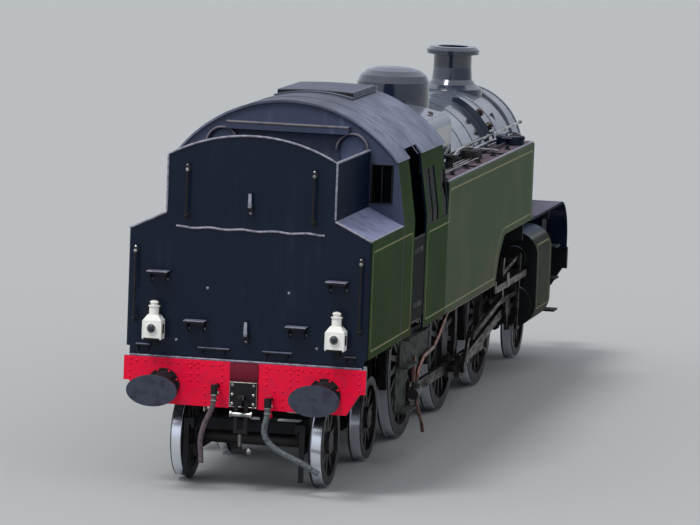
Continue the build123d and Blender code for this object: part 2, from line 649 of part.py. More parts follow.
# Ventilator box on the crown, with a lower shutter behind it
under = ((0, ROOF_TOP - 8), (-VENT_HALF, 3912))
roof += cross_plate([(-VENT_HALF, 3912), (-VENT_HALF, 3994), ((0, VENT_TOP), (VENT_HALF, 3994)),
                     (VENT_HALF, 3912), under], VENT_X0, VENT_X1)
roof += cross_plate([(-VENT_HALF, 3912), (-VENT_HALF, 3946), ((0, ROOF_TOP + 14), (VENT_HALF, 3946)),
                     (VENT_HALF, 3912), under], VENT_X0 - 120, VENT_X0)
for side in (1, -1):
    roof -= box(DOOR_X0, DOOR_X1, side * 1010, side * 1400, 3000, DOORWAY_TOP)
save("cab_roof", roof)

floor = box(-2800, CAB_BACK_X + SHEET, -1285, 1285, FLOOR_Z - 30, FLOOR_Z)
for side in (1, -1):
    floor += box(-2800, CAB_FRONT_X - SHEET, side * 590, side * 1285, 1775, 1800)
    floor += box(-2800, -2775, side * 590, side * 1285, FLOOR_Z - 30, 1800)
    floor += box(-2650, -2540, side * 1020, side * 1130, 1800, 1950)
    floor += box(-2790, -2400, side * 900, side * 1250, 1950, 2010)
floor -= firebox
save("cab_floor", floor)

panes = []
for x0, x1, top in SIDE_WINDOWS:
    leaning = [(1294, WAIST_Z), (1300, WAIST_Z), (EAVE_Y - 10, EAVE_Z - 20), (EAVE_Y - 16, EAVE_Z - 20)]
    pane = cross_plate(leaning, x0, x1)
    pane += cross_plate([(1294, SILL_Z), (1300, SILL_Z), (1300, WAIST_Z), (1294, WAIST_Z)], x0, x1)
    pane -= box(x0 - 10, x1 + 10, 1000, 1400, top, 3400)
    panes += both_sides(pane)
for side in (1, -1):
    inner, outer, sill, top = FRONT_WINDOW
    panes.append(box(CAB_FRONT_X - 18, CAB_FRONT_X - 12, side * inner, side * outer, sill, top))
    inner, outer, sill, top = REAR_WINDOW
    panes.append(box(CAB_BACK_X + 10, CAB_BACK_X + 16, side * inner, side * outer, sill, top))
    pane_shape = arch(side * ARCH_Y, ARCH_HALF, ARCH_SILL, ARCH_SPRING)
    panes.append(cross_plate(pane_shape, CAB_BACK_X + 10, CAB_BACK_X + 16))
save("cab_glass", *panes)

for side, word in ((1, "left"), (-1, "right")):
    leaf = box(DOOR_X0 + 8, DOOR_X1 - 8, 1280, 1305, FLOOR_Z + 20, 2480)
    for z in (1700, 2300):
        leaf += rod((DOOR_X0 + 22, 1292.5, z), (DOOR_X0 + 22, 1292.5, z + 90), 15)
    save(f"cab_door_{word}", at_side(side, leaf))


# Bunker: open at the top, with water spaces low at the sides

CORNER = 45
BACK_HALF = HALF_WIDTH - CORNER
body_shape = [(-HALF_WIDTH, TANK_BOTTOM), (-HALF_WIDTH, SHOULDER_LOW), (-BUNKER_HALF, SHOULDER_HIGH),
              (BUNKER_HALF, SHOULDER_HIGH), (HALF_WIDTH, SHOULDER_LOW), (HALF_WIDTH, TANK_BOTTOM)]
bunker = cross_plate(body_shape, BUNKER_X, CAB_BACK_X)
near = 0.293 * CORNER
plan = [(CAB_BACK_X, -HALF_WIDTH), (BUNKER_X + CORNER, -HALF_WIDTH),
        ((BUNKER_X + near, near - HALF_WIDTH), (BUNKER_X, -BACK_HALF)), (BUNKER_X, BACK_HALF),
        ((BUNKER_X + near, HALF_WIDTH - near), (BUNKER_X + CORNER, HALF_WIDTH)), (CAB_BACK_X, HALF_WIDTH)]
bunker &= flat_plate(plan, TANK_BOTTOM - 10, SHOULDER_HIGH + 10)
upper_shape = [(-BUNKER_HALF, SHOULDER_HIGH - 5), (-BUNKER_HALF, BUNKER_CORNER_Z),
               ((0, BUNKER_APEX), (BUNKER_HALF, BUNKER_CORNER_Z)), (BUNKER_HALF, SHOULDER_HIGH - 5)]
bunker += cross_plate(upper_shape, BUNKER_X, BUNKER_X + SHEET)
low = SHOULDER_HIGH - 5
inside = BUNKER_HALF - SHEET
for side in (1, -1):
    bunker += box(BUNKER_X, CAB_BACK_X, side * BUNKER_HALF, side * inside, low, BUNKER_CORNER_Z)
# The coal space has a floor that slopes down to the shovelling plate
coal_shape = [(BUNKER_X + SHEET, 2500), (CAB_BACK_X - 300, 1900), (CAB_BACK_X - SHEET, 1900),
              (CAB_BACK_X - SHEET, 2900), (BUNKER_X + SHEET, 2900)]
bunker -= side_plate(coal_shape, -inside, inside)
# The back sheet reaches down to the buffer beam
bunker += box(BUNKER_X, BUNKER_X + SHEET, -BACK_HALF, BACK_HALF, BEAM_TOP + 2, TANK_BOTTOM + 5)
save("bunker", bunker)

lamps = []
for side in (1, -1):
    x = BUNKER_X - 105
    y = side * LAMP_Y
    lamp = box(x - 85, x + 85, y - 100, y + 100, LAMP_FOOT, LAMP_SHOULDER)
    shoulder = [Pos(x, y, LAMP_SHOULDER) * Rectangle(170, 200), Pos(x, y, LAMP_NECK) * Rectangle(112, 112)]
    lamp += loft(Sketch() + shoulder)
    lamp += rod((x, y, LAMP_NECK - 2), (x, y, LAMP_TOP - 40), 52)
    lamp += rod((x, y, LAMP_TOP - 40), (x, y, LAMP_TOP), 40)
    lamp += rod((x - 105, y, 1660), (x - 80, y, 1660), 52)
    lamps.append(lamp)
save("headlamps", *lamps)

# Steps on the bunker back: distance from the centreline, height
steps = []
for y, z in ((965, 2242), (548, 1741)):
    for side in (1, -1):
        steps.append(box(BUNKER_X - 130, BUNKER_X, side * y - 110, side * y + 110, z - 12, z + 12))
# Lamp irons: distance from the centreline, foot
for y, z in ((LAMP_Y, 1515), (-LAMP_Y, 1515), (0, 1600), (0, 2960)):
    steps.append(box(BUNKER_X - 20, BUNKER_X, y - 30, y + 30, z - 60, z + 60)
                 + box(BUNKER_X - 70, BUNKER_X - 20, y - 30, y + 30, z, z + 22))


def handrail(x, y, z0, z1):
    """An upright handrail on two stalks, behind the bunker."""
    rail = rod((x, y, z0), (x, y, z1), 14)
    for z in (z0 + 40, z1 - 40):
        rail += rod((x, y, z), (BUNKER_X, y, z), 12)
    return rail


# Handrails: distance from the centreline, foot, top
rails = [handrail(BUNKER_X - 70, side * y, z0, z1)
         for side in (1, -1) for y, z0, z1 in ((1215, 1700, 2498), (683, 2820, 3390))]
save("bunker_steps", *steps, *rails)


# Trucks

def pony_truck():
    """Pony truck frame: two arms from the pivot to the axleboxes, and guard irons ahead of the wheels."""
    arms = flat_plate([(PONY_PIVOT_X - 90, -90), (PONY_PIVOT_X - 90, 90), (PONY_X - 500, 560),
                       (PONY_X + 230, 560), (PONY_X + 230, -560), (PONY_X - 500, -560)], 560, 640)
    arms -= flat_plate([(PONY_PIVOT_X + 400, 0), (PONY_X - 480, 400), (PONY_X - 480, -400)], 550, 650)
    for side in (1, -1):
        cheek = box(PONY_X - 140, PONY_X + 140, side * 470, side * 560, 330, 560)
        arms += cheek - rod((PONY_X, side * 460, CARRYING_R), (PONY_X, side * 570, CARRYING_R), 82)
    arms += rod((PONY_PIVOT_X, 0, 520), (PONY_PIVOT_X, 0, 700), 90)
    for side in (1, -1):
        arms += box(PONY_X + 220, PONY_X + 546, side * 500, side * 560, 560, 640)
        arms += box(PONY_X + 521, PONY_X + 546, side * 500, side * IRON_OUT, 560, 640)
        arms += box(PONY_X + 521, PONY_X + 546, side * IRON_IN, side * IRON_OUT, 90, 640)
    return arms


save("pony_truck", pony_truck())


def bogie_frame():
    """Bogie frame: two plates inside the wheels, cross pieces, guard irons and the centre post."""
    shape = [(BOGIE_REAR_X - 420, 560), (BOGIE_REAR_X - 260, 330), (BOGIE_REAR_X + 260, 330),
             (BOGIE_REAR_X + 420, 470), (BOGIE_FRONT_X - 420, 470), (BOGIE_FRONT_X - 260, 330),
             (BOGIE_FRONT_X + 260, 330),
             (BOGIE_FRONT_X + 420, 560), (BOGIE_FRONT_X + 420, 700), (BOGIE_REAR_X - 420, 700)]
    frame = Part()
    for side in (1, -1):
        plate = side_plate(shape, 545, 575)
        for x in (BOGIE_FRONT_X, BOGIE_REAR_X):
            plate -= rod((x, 500, CARRYING_R), (x, 600, CARRYING_R), 83)
        frame += at_side(side, plate)
    for x0, x1 in ((BOGIE_REAR_X - 420, BOGIE_REAR_X - 340), (BOGIE_X - 350, BOGIE_X + 350),
                   (BOGIE_FRONT_X + 340, BOGIE_FRONT_X + 420)):
        frame += box(x0, x1, -545, 545, 580, 700)
    for side in (1, -1):
        frame += box(BOGIE_REAR_X - 552, BOGIE_REAR_X - 400, side * 545, side * 575, 600, 700)
        frame += box(BOGIE_REAR_X - 552, BOGIE_REAR_X - 527, side * 545, side * IRON_OUT, 630, 700)
        frame += box(BOGIE_REAR_X - 552, BOGIE_REAR_X - 527, side * IRON_IN, side * IRON_OUT, 90, 700)
    frame += rod((BOGIE_X, 0, 650), (BOGIE_X, 0, 1004), 160)
    return frame


save("bogie_frame", bogie_frame())


# Brake blocks and hangers behind each coupled wheel

brakes = []
for x in (LEADING_X, DRIVING_X, TRAILING_X):
    inner = COUPLED_R + 8
    outer = COUPLED_R + 60
    ring = rod((x, 724, COUPLED_R), (x, 812, COUPLED_R), outer)
    ring -= rod((x, 700, COUPLED_R), (x, 830, COUPLED_R), inner)
    shoe = ring & box(x - outer - 10, x - 700, 700, 830, COUPLED_R - 230, COUPLED_R + 230)
    hanger = box(x - outer - 25, x - outer + 15, 735, 800, COUPLED_R - 60, 1290)
    arm = box(x - outer - 45, x - outer + 15, FRAME_OUT, 800, 1230, 1290)
    brakes += both_sides(shoe + hanger + arm)
save("brake_gear", *brakes)


# Cab steps, pipes and injectors

cab_steps = []
for side in (1, -1):
    outer = side * (STEP_PANEL_Y + 16)
    piece = box(-4000, -2450, side * STEP_PANEL_Y, outer, 1060, TANK_BOTTOM)
    piece += box(-4000, -2830, outer, side * 1308, 1372, 1392)
    piece += box(-3990, -3430, side * 1150, side * 1300, 1060, 1085)
    piece += box(-3990, -3430, side * 1150, side * 1168, 560, 1060)
    piece += box(-3990, -3430, side * 1150, side * 1300, 560, 585)
    cab_steps.append(piece)
save("cab_steps", *cab_steps)


def pipe(points, radius):
    """A bent pipe through points, with a wide bend at each one."""
    path = FilletPolyline(*points, radius=4 * radius)
    section = Plane(path @ 0, z_dir=path % 0) * Circle(radius)
    return sweep(section, path=path)


# Delivery pipe and overflow pipe, as stations and heights
DELIVERY = [
    (1340, 1412), (-1540, 1412), (-2010, 1190), (-2290, 1095), (-2860, 1060), (-3150, 930), (-3200, 760),
]
OVERFLOW = [(-3150, 660), (-3130, 560), (-2790, 300), (-2720, 200)]
injectors = []
for side in (1, -1):
    y = side * PIPE_Y
    body = rod((-3360, y, 700), (-3080, y, 700), 62)
    body += rod((-3200, y, 640), (-3200, y, 790), 48)
    body += box(-3300, -3260, side * (STEP_PANEL_Y + 16), y, 680, 1120)
    body += pipe([(x, y, z) for x, z in DELIVERY], 24)
    body += pipe([(x, y, z) for x, z in OVERFLOW], 20)
    for x in (1000, -1300):
        body += box(x - 15, x + 15, y - 15, y + 15, 1412, TANK_BOTTOM)
    injectors.append(body)
save("injectors", *injectors)


# Free hoses at each end

BRAKE_HOSE_R = 32
HEATING_HOSE_R = 28
# Routes seen from behind: distance to the left of the centreline, height
BRAKE_ROUTE = [
    (-300, 905), (-300, 800), (-268, 700), (-275, 590), (-350, 500), (-465, 430), (-600, 375), (-735, 315),
    (-870, 235),
]
HEATING_ROUTE = [
    (284, 1010), (284, 905), (325, 800), (372, 700), (405, 590), (418, 480), (404, 375), (400, 270),
]
HOSE_X = BEAM_X + 150


def hose_radii(points):
    """The bend at each point: 0.45 of the shorter run over the tangent of half the turn."""
    radii = []
    for before, here, after in zip(points, points[1:], points[2:]):
        first = here - before
        second = after - here
        turn = radians(first.get_angle(second))
        radii.append(0.45 * min(first.length, second.length) / tan(turn / 2))
    return radii


hoses = [("brake", BRAKE_HOSE_R, BRAKE_ROUTE), ("heating", HEATING_HOSE_R, HEATING_ROUTE)]
for end, word in ((-1, "rear"), (1, "front")):
    for kind, radius, route in hoses:
        points = [Vector(end * HOSE_X, -end * y, z) for y, z in route]
        radii = hose_radii(points)
        path = FilletPolyline(*points, radius=radii)
        tube = sweep(Plane(path @ 0, z_dir=path % 0) * Circle(radius), path=path)
        print(word, kind, "hose radii", [round(r) for r in radii], "length", round(path.length),
              "volume ratio", round(tube.volume / (pi * radius**2 * path.length), 4))
        save(f"{word}_{kind}_hose", tube)

hose_ends = []
for end in (1, -1):
    x = end * HOSE_X
    for route, radius in ((BRAKE_ROUTE, BRAKE_HOSE_R), (HEATING_ROUTE, HEATING_HOSE_R)):
        y = -end * route[0][0]
        z = route[0][1]
        stand = rod((end * BEAM_X, y, z + 70), (x, y, z + 70), 26)
        hose_ends.append(stand + rod((x, y, z), (x, y, z + 95), radius + 8))
save("hose_stands", *hose_ends)
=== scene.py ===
# %% [markdown]
# # A steam tank locomotive, dressed in Blender
# The engine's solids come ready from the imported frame: every plate, wheel and rod is already at its real size.
# What is left is the look: paint, dust, bare steel, rivets, pipes, lining, and the small things on top.
# Every length is in metres, and a CAD piece is never moved.

# %% Load the frame and keep the CAD box
from math import cos, pi, radians, sin, sqrt

import bmesh
import bpy
from mathutils import Matrix, Vector


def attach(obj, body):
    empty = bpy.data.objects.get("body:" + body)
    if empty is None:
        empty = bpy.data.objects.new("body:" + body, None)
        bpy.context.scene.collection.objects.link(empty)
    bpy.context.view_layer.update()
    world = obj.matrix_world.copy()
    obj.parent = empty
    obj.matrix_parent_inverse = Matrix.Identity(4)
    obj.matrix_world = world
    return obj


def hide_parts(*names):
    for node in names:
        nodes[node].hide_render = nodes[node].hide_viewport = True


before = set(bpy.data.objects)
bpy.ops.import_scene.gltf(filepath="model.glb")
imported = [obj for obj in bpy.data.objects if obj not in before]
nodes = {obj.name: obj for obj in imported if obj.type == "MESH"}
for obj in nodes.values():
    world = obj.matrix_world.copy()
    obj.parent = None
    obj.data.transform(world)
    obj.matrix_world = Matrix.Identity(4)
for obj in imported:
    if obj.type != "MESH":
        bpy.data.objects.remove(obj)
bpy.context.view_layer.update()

# %% Driving sizes shared by the pieces below, with heights above the rail head
RAIL = 0.028
CAB_WAIST_HALF = 1.31
BEAM_X = 6.30
BUNKER_X = -6.25
CAB_BACK_X = -4.57
CAB_FRONT_X = -2.06
TANK_FRONT_X = 3.44
TANK_TOP = 2.95
SHOULDER_LOW = 2.69
SHOULDER_HIGH = 2.88
BUNKER_HALF = 0.91
COUPLED_R = 0.864
CARRYING_R = 0.457
BOILER_Z = 2.67
SMOKEBOX_R = 0.79
ROOF_TOP = 3.985
COUPLED_X = (2.821, 0.484, -1.853)
BUFFER_Y = 0.87
BUFFER_Z = 1.054
LEFT_AND_RIGHT = ((1, "left"), (-1, "right"))
AXLES = {
    "leading": (COUPLED_X[0], COUPLED_R),
    "driving": (COUPLED_X[1], COUPLED_R),
    "trailing": (COUPLED_X[2], COUPLED_R),
    "pony": (5.564, CARRYING_R),
    "bogie_front": (-3.682, CARRYING_R),
    "bogie_rear": (-5.663, CARRYING_R),
}


# %% [markdown]
# ## Camera
# A photograph is taken from one point in space, and that point fixes how lines converge.
# The point, heading, tilt and roll here were solved from the bunker, beam and cab edges in the photograph.
# The engine is small in that picture, so the camera stays at the same point, turns to the engine and zooms in.

# %% Camera at the photograph's point of view
CAMERA_AT = Vector((-57.68, -11.88, 8.56 + RAIL))
PHOTO_HEADING = radians(9.90)
PHOTO_TILT = radians(-3.55)
PHOTO_ROLL = radians(2.34)
PHOTO_FOCAL_PX = 1714
PHOTO_MIDDLE_PX = (350, 262.5)
ENGINE_MIDDLE_PX = (288, 352)
ZOOM = 2.95
SENSOR_MM = 36
PHOTO_WIDTH_PX = 700

ahead = Vector((cos(PHOTO_TILT) * cos(PHOTO_HEADING), cos(PHOTO_TILT) * sin(PHOTO_HEADING), sin(PHOTO_TILT)))
level = ahead.cross(Vector((0, 0, 1))).normalized()
above = level.cross(ahead)
across = cos(PHOTO_ROLL) * level + sin(PHOTO_ROLL) * above
upward = cos(PHOTO_ROLL) * above - sin(PHOTO_ROLL) * level
photo_turn = Matrix((across, upward, -ahead)).transposed()
engine_ray = photo_turn @ Vector((
    ENGINE_MIDDLE_PX[0] - PHOTO_MIDDLE_PX[0],
    PHOTO_MIDDLE_PX[1] - ENGINE_MIDDLE_PX[1],
    -PHOTO_FOCAL_PX,
))
turn_to_engine = ahead.rotation_difference(engine_ray).to_matrix()

lens = bpy.data.cameras.new("camera")
lens.sensor_width = SENSOR_MM
lens.lens = PHOTO_FOCAL_PX / PHOTO_WIDTH_PX * SENSOR_MM * ZOOM
lens.clip_end = 2000
camera = bpy.data.objects.new("camera", lens)
camera.matrix_world = Matrix.Translation(CAMERA_AT) @ (turn_to_engine @ photo_turn).to_4x4()
bpy.context.scene.collection.objects.link(camera)
bpy.context.scene.camera = camera
print("lens", round(lens.lens, 1), "mm")


# %% [markdown]
# ## Colours and shader nodes
# Paint charts and photographs give colours as sRGB hex, but a shader works with linear light, so one function
# turns one into the other.
# Nodes could be placed by hand, but a script can add them all in one way: one function takes the kind of node, its
# inputs and its options, and hands back the output that the next node needs.

# %% Colour and node helpers
def linear(hex_colour):
    """An sRGB hex colour as linear red, green, blue and full opacity."""
    parts = [int(hex_colour[i:i + 2], 16) / 255 for i in (1, 3, 5)]
    return tuple(v / 12.92 if v <= 0.04045 else ((v + 0.055) / 1.055) ** 2.4 for v in parts) + (1.0,)


def fill(tree, node, inputs):
    """Fill a node's inputs, in order or by name, with numbers, hex colours or other nodes' outputs."""
    for key, value in inputs.items() if isinstance(inputs, dict) else enumerate(inputs):
        if isinstance(value, bpy.types.NodeSocket):
            tree.links.new(value, node.inputs[key])
        elif isinstance(value, str) and value.startswith("#"):
            node.inputs[key].default_value = linear(value)
        else:
            node.inputs[key].default_value = value


def add_node(tree, kind, inputs=(), out=0, **settings):
    """Add a node, set its options, fill its inputs and return one of its outputs."""
    node = tree.nodes.new(kind)
    for name, value in settings.items():
        setattr(node, name, value)
    fill(tree, node, inputs)
    return node.outputs[out]


# Short names for the kinds used most. RGBA makes a Mix node mix colours, which come out of its third output,
# and SMOOTH makes a Map Range node ease in and out.
MATH = "ShaderNodeMath"
VECTOR_MATH = "ShaderNodeVectorMath"
SEPARATE = "ShaderNodeSeparateXYZ"
MAP_RANGE = "ShaderNodeMapRange"
MIX = "ShaderNodeMix"
RGBA = {"out": 2, "data_type": "RGBA"}
SMOOTH = {"interpolation_type": "SMOOTHSTEP"}


def new_material(name, colour, roughness, metallic=0.0):
    """A material with its shader's plain values, and the tree, shader and object coordinates to build on."""
    material = bpy.data.materials.new(name)
    material.use_nodes = True
    tree = material.node_tree
    shader = tree.nodes["Principled BSDF"]
    fill(tree, shader, {"Base Color": colour, "Roughness": roughness, "Metallic": metallic})
    place = add_node(tree, "ShaderNodeTexCoord", out="Object")
    print("material", name)
    return material, tree, shader, place


# %% [markdown]
# ## Patterns with a real size
# Dirt, rust and wear come in spots and streaks of some real size, so a pattern is asked for in millimetres.
# The coordinates are in metres, and dividing them by the size gives spots that stay the same on every piece.
# A texture could be scaled by eye instead, but then each piece would need its own number.

# %% Spots, patches and relief
def spots(tree, place, size_mm, stretch=(1, 1, 1), detail=4.0):
    """Soft random spots of about one size, stretched along the axes."""
    scale = [share / (size_mm / 1000) for share in stretch]
    spread = add_node(tree, "ShaderNodeMapping", {"Vector": place, "Scale": scale})
    return add_node(tree, "ShaderNodeTexNoise", {"Vector": spread, "Scale": 1.0, "Detail": detail}, out="Fac")


def patches(tree, place, size_mm, low, high, to_low=0.0, to_high=1.0, stretch=(1, 1, 1)):
    """Spots made sharper: none below one level of the noise and full above another."""
    cloud = spots(tree, place, size_mm, stretch)
    return add_node(tree, MAP_RANGE, [cloud, low, high, to_low, to_high], **SMOOTH)


def uneven(tree, place, size_mm, depth, stretch=(1, 1, 1), detail=4.0):
    """Shallow random relief with bumps of about one size and a depth in metres."""
    height = spots(tree, place, size_mm, stretch, detail)
    return add_node(tree, "ShaderNodeBump", {"Height": height, "Distance": depth})


def off_centre(tree, place):
    """Distance from the engine's centreline, the same on the left and on the right."""
    across = add_node(tree, SEPARATE, [place], out="Y")
    return add_node(tree, MATH, [across], operation="ABSOLUTE")


def upward_share(tree, low=0.75, high=0.95):
    """How far a face looks up: 0 on walls and 1 on tops, where soot settles and faces get dusty, and where some
    paints carry a painted sky highlight.
    """
    normal = add_node(tree, "ShaderNodeNewGeometry", out="Normal")
    height = add_node(tree, SEPARATE, [normal], out="Z")
    return add_node(tree, MAP_RANGE, [height, low, high], **SMOOTH)


def sideways_share(tree):
    """1 on faces that look to the side, where years of wiping have dulled the varnish."""
    normal = add_node(tree, "ShaderNodeNewGeometry", out="Normal")
    return add_node(tree, MAP_RANGE, [off_centre(tree, normal), 0.6, 0.8], **SMOOTH)


def side_share(tree, place, side_from):
    """1 on the outer side faces past a distance from the centreline, and 0 on ends and elsewhere."""
    normal = add_node(tree, "ShaderNodeNewGeometry", out="Normal")
    along = add_node(tree, MATH, [add_node(tree, SEPARATE, [normal], out="X")], operation="ABSOLUTE")
    far_out = add_node(tree, MATH, [off_centre(tree, place), side_from], operation="GREATER_THAN")
    not_end = add_node(tree, MATH, [along, 0.5], operation="LESS_THAN")
    return add_node(tree, MATH, [far_out, not_end], operation="MULTIPLY")


# %% [markdown]
# ## Lining
# The pale lines on the sides are painted by hand, parallel to the edges of each panel and round at its corners.
# They could be thin strips of mesh or a picture, but strips flicker and a picture is blurred close up.
# A shader can measure the distance to a rounded rectangle instead, and paint wherever that distance is small.

# %% Lining drawn by distance
# Each lined panel: rear, front, bottom, top, corner radius. The cut is the rise at the foot of the tank.
CAB_PANEL = (-3.20, 3.36, 1.52, 2.49, 0.07)
TANK_PANEL = (-1.98, 3.36, 1.52, 2.85, 0.07)
TANK_CUT = (1.02, 5.00, 0.50, 2.065, 0.60)
BUNKER_PANEL = (-6.15, -4.05, 1.52, 2.57, 0.07)
CYLINDER_PANEL = (4.07, 4.93, 0.80, 1.60, 0.06)
LINE_HALF = 0.010  # half the width of the painted line
LINE_STRENGTH = 0.7  # old lines let some green through
LINING_FROM = 1.28  # distance from the centreline, so that only outer faces are lined
LINE_COLOUR = "#8E8C62"
ORIGIN = (0, 0, 0)
SIDE_VIEW = (1, 0, 1)


def panel_edge(tree, place, rear, front, bottom, top, corner):
    """Signed distance from the edge of a rounded panel, seen from the side."""
    centre = ((rear + front) / 2, 0, (bottom + top) / 2 + RAIL)
    reach = ((front - rear) / 2 - corner, 0, (top - bottom) / 2 - corner)
    past = place
    for operation, by in (("SUBTRACT", centre), ("ABSOLUTE", ORIGIN), ("SUBTRACT", reach), ("MAXIMUM", ORIGIN),
                          ("MULTIPLY", SIDE_VIEW)):
        past = add_node(tree, VECTOR_MATH, [past, by], operation=operation)
    length = add_node(tree, VECTOR_MATH, [past], out="Value", operation="LENGTH")
    return add_node(tree, MATH, [length, corner], operation="SUBTRACT")


def lining(tree, place):
    """Share of the pale painted line on the side sheets and on the cylinder casing."""
    panels = (CAB_PANEL, TANK_PANEL, TANK_CUT, BUNKER_PANEL, CYLINDER_PANEL)
    cab, tank, cut, bunker, cylinder = (panel_edge(tree, place, *panel) for panel in panels)
    both = add_node(tree, MATH, [cab, tank], operation="MINIMUM")
    outside_cut = add_node(tree, MATH, [cut, -1.0], operation="MULTIPLY")
    sheet = add_node(tree, MATH, [both, outside_cut], operation="MAXIMUM")
    away = add_node(tree, MATH, [sheet], operation="ABSOLUTE")
    for edge in (bunker, cylinder):
        other = add_node(tree, MATH, [edge], operation="ABSOLUTE")
        away = add_node(tree, MATH, [away, other], operation="MINIMUM")
    on_line = add_node(tree, MATH, [away, LINE_HALF], operation="LESS_THAN")
    on_side = add_node(tree, MATH, [off_centre(tree, place), LINING_FROM], operation="GREATER_THAN")
    return add_node(tree, MATH, [on_line, on_side], operation="MULTIPLY")


# %% [markdown]
# ## Painted sheet steel
# The bunker, cab and tanks are sheets of steel under many coats of brushed enamel, polished and then varnished.
# Real sheets are never quite flat, so a very shallow, wide bump bends the reflections.
# Rain draws faint streaks down the sides, and coal dust settles on whatever faces up; on some enamels that top colour
# is also a painted sky highlight.
# One function makes them all, because black, green and red enamel differ only in colour, dust and gloss.

# %% Enamel on sheet steel
RAIN_STREAK_MM = 90
FADED_CLOUD_MM = 700
SPLASH_MM = 300
DUST_SPOT_MM = 150
SHEET_RIPPLE_MM = 450
SIDE_ROUGHNESS = 0.5
SPLASH_TOP = 2.3  # height where splashed dirt begins
SPLASH_FULL = 1.5  # height below which it is thickest


def enamel(name, colour, worn, dust_and_sheen, roughness, ripple=0.0016, side_colour=None, side_faded="#2B4216",
           side_dirt="#363118", side_from=1.285, shine=0.2, side_shine=0.02, coat=None):
    """Brushed gloss enamel, faded in streaks, with a top colour that is dusty and on some enamels a painted sky
    highlight, and lined sides if asked.
    """
    material, tree, shader, place = new_material(name, colour, roughness)
    streaks = patches(tree, place, RAIN_STREAK_MM, 0.5, 0.8, stretch=(1, 1, 0.12))
    clouds = patches(tree, place, FADED_CLOUD_MM, 0.35, 0.75)
    fading = add_node(tree, MATH, [streaks, clouds], operation="MULTIPLY")
    paint = add_node(tree, MIX, {0: fading, 6: colour, 7: worn}, **RGBA)
    gloss = add_node(tree, MAP_RANGE, [clouds, 0.0, 1.0, roughness, roughness + 0.12], **SMOOTH)
    if coat:
        # A sheet under a thick coat of varnish shines on every side.
        fill(tree, shader, {"Specular IOR Level": shine, "Coat Weight": coat[0], "Coat Roughness": coat[1]})
    else:
        wiped = sideways_share(tree)
        gloss = add_node(tree, MIX, {0: wiped, 2: gloss, 3: SIDE_ROUGHNESS})
        fill(tree, shader, {"Specular IOR Level": add_node(tree, MIX, {0: wiped, 2: shine, 3: side_shine})})
    if side_colour:
        height = add_node(tree, SEPARATE, [place], out="Z")
        low = add_node(tree, MAP_RANGE, [height, SPLASH_TOP, SPLASH_FULL], **SMOOTH)
        splashes = patches(tree, place, SPLASH_MM, 0.35, 0.75)
        dirt = add_node(tree, MATH, [low, splashes], operation="MULTIPLY")
        dirt = add_node(tree, MATH, [dirt, 0.7], operation="MULTIPLY")
        line = add_node(tree, MATH, [lining(tree, place), LINE_STRENGTH], operation="MULTIPLY")
        side = add_node(tree, MIX, {0: clouds, 6: side_colour, 7: side_faded}, **RGBA)
        side = add_node(tree, MIX, {0: dirt, 6: side, 7: side_dirt}, **RGBA)
        side = add_node(tree, MIX, {0: line, 6: side, 7: LINE_COLOUR}, **RGBA)
        paint = add_node(tree, MIX, {0: side_share(tree, place, side_from), 6: paint, 7: side}, **RGBA)
    # Faces that look up take the top colour. On most enamels it is settled coal grime; on the bunker it is partly,
    # and on the cylinder casing wholly, a painted sky highlight.
    settled = patches(tree, place, DUST_SPOT_MM, 0.2, 0.6, 0.55, 1.0)
    soot = add_node(tree, MATH, [upward_share(tree), settled], operation="MULTIPLY")
    fill(tree, shader, {
        "Base Color": add_node(tree, MIX, {0: soot, 6: paint, 7: dust_and_sheen}, **RGBA),
        "Roughness": add_node(tree, MATH, [soot, 0.55, gloss], operation="MULTIPLY_ADD", use_clamp=True),
        "Normal": uneven(tree, place, SHEET_RIPPLE_MM, ripple, detail=1.0),
    })
    return material


# %% The enamels of this engine
SIDE_GREEN = "#20380C"
# The black enamel is tinted navy: a painted reflection of the blue sky on gloss black. The faded black is tinted the
# same way.
BLACK_TINTED_WITH_PAINTED_SKY = "#101A2C"
FADED_BLACK = "#1F2A3E"
BEAM_RED = "#EC0838"
BLACK_ENAMEL = enamel("black_enamel_brushed_on_steel", BLACK_TINTED_WITH_PAINTED_SKY, FADED_BLACK, "#565264", 0.2)
# The cab back plate is black enamel lightened to a blue-grey. This is painted light, standing for the sky's light on
# the plate under the roof's shade.
BACK_ENAMEL = enamel("faded_black_enamel_lightened_with_painted_light_on_cab_back", "#444A60", "#5C6278", "#5E6274", 0.4)
# The doors are painted near-black. This is painted shade, standing for the dark of an open doorway.
DOOR_ENAMEL = enamel("near_black_painted_shade_on_cab_door", "#07090C", "#101418", "#1C1E24", 0.3)
# The bunker's pale grey-blue top colour is partly coal dust and partly a painted sky highlight on its shoulders and
# tops.
BUNKER_ENAMEL = enamel("black_back_and_lined_green_sides", BLACK_TINTED_WITH_PAINTED_SKY, FADED_BLACK, "#8286A4", 0.2,
                       side_colour=SIDE_GREEN)
TANK_ENAMEL = enamel("lined_green_tank_side_with_rusty_top", BLACK_TINTED_WITH_PAINTED_SKY, FADED_BLACK, "#564650", 0.3,
                     side_colour="#284010", side_faded="#3C4624", side_dirt="#4A4030", side_from=1.27,
                     side_shine=0.1)
CAB_ENAMEL = enamel("lined_green_enamel_on_cab_side", BLACK_TINTED_WITH_PAINTED_SKY, FADED_BLACK, "#565264", 0.24,
                    side_colour=SIDE_GREEN, side_from=1.19)
# The cylinder casing's pale blue-grey top colour is a painted highlight of the sky on its upper curve.
CYLINDER_ENAMEL = enamel("lined_green_cleading_with_black_ends", "#101214", "#1C1D20", "#8E9CB4", 0.24,
                         side_colour="#2A3226", side_faded="#363A30", side_from=1.12, shine=0.6)
RED_ENAMEL = enamel("red_enamel_brushed_on_steel", BEAM_RED, "#D01A40", "#8A3A48", 0.35, 0.0006)
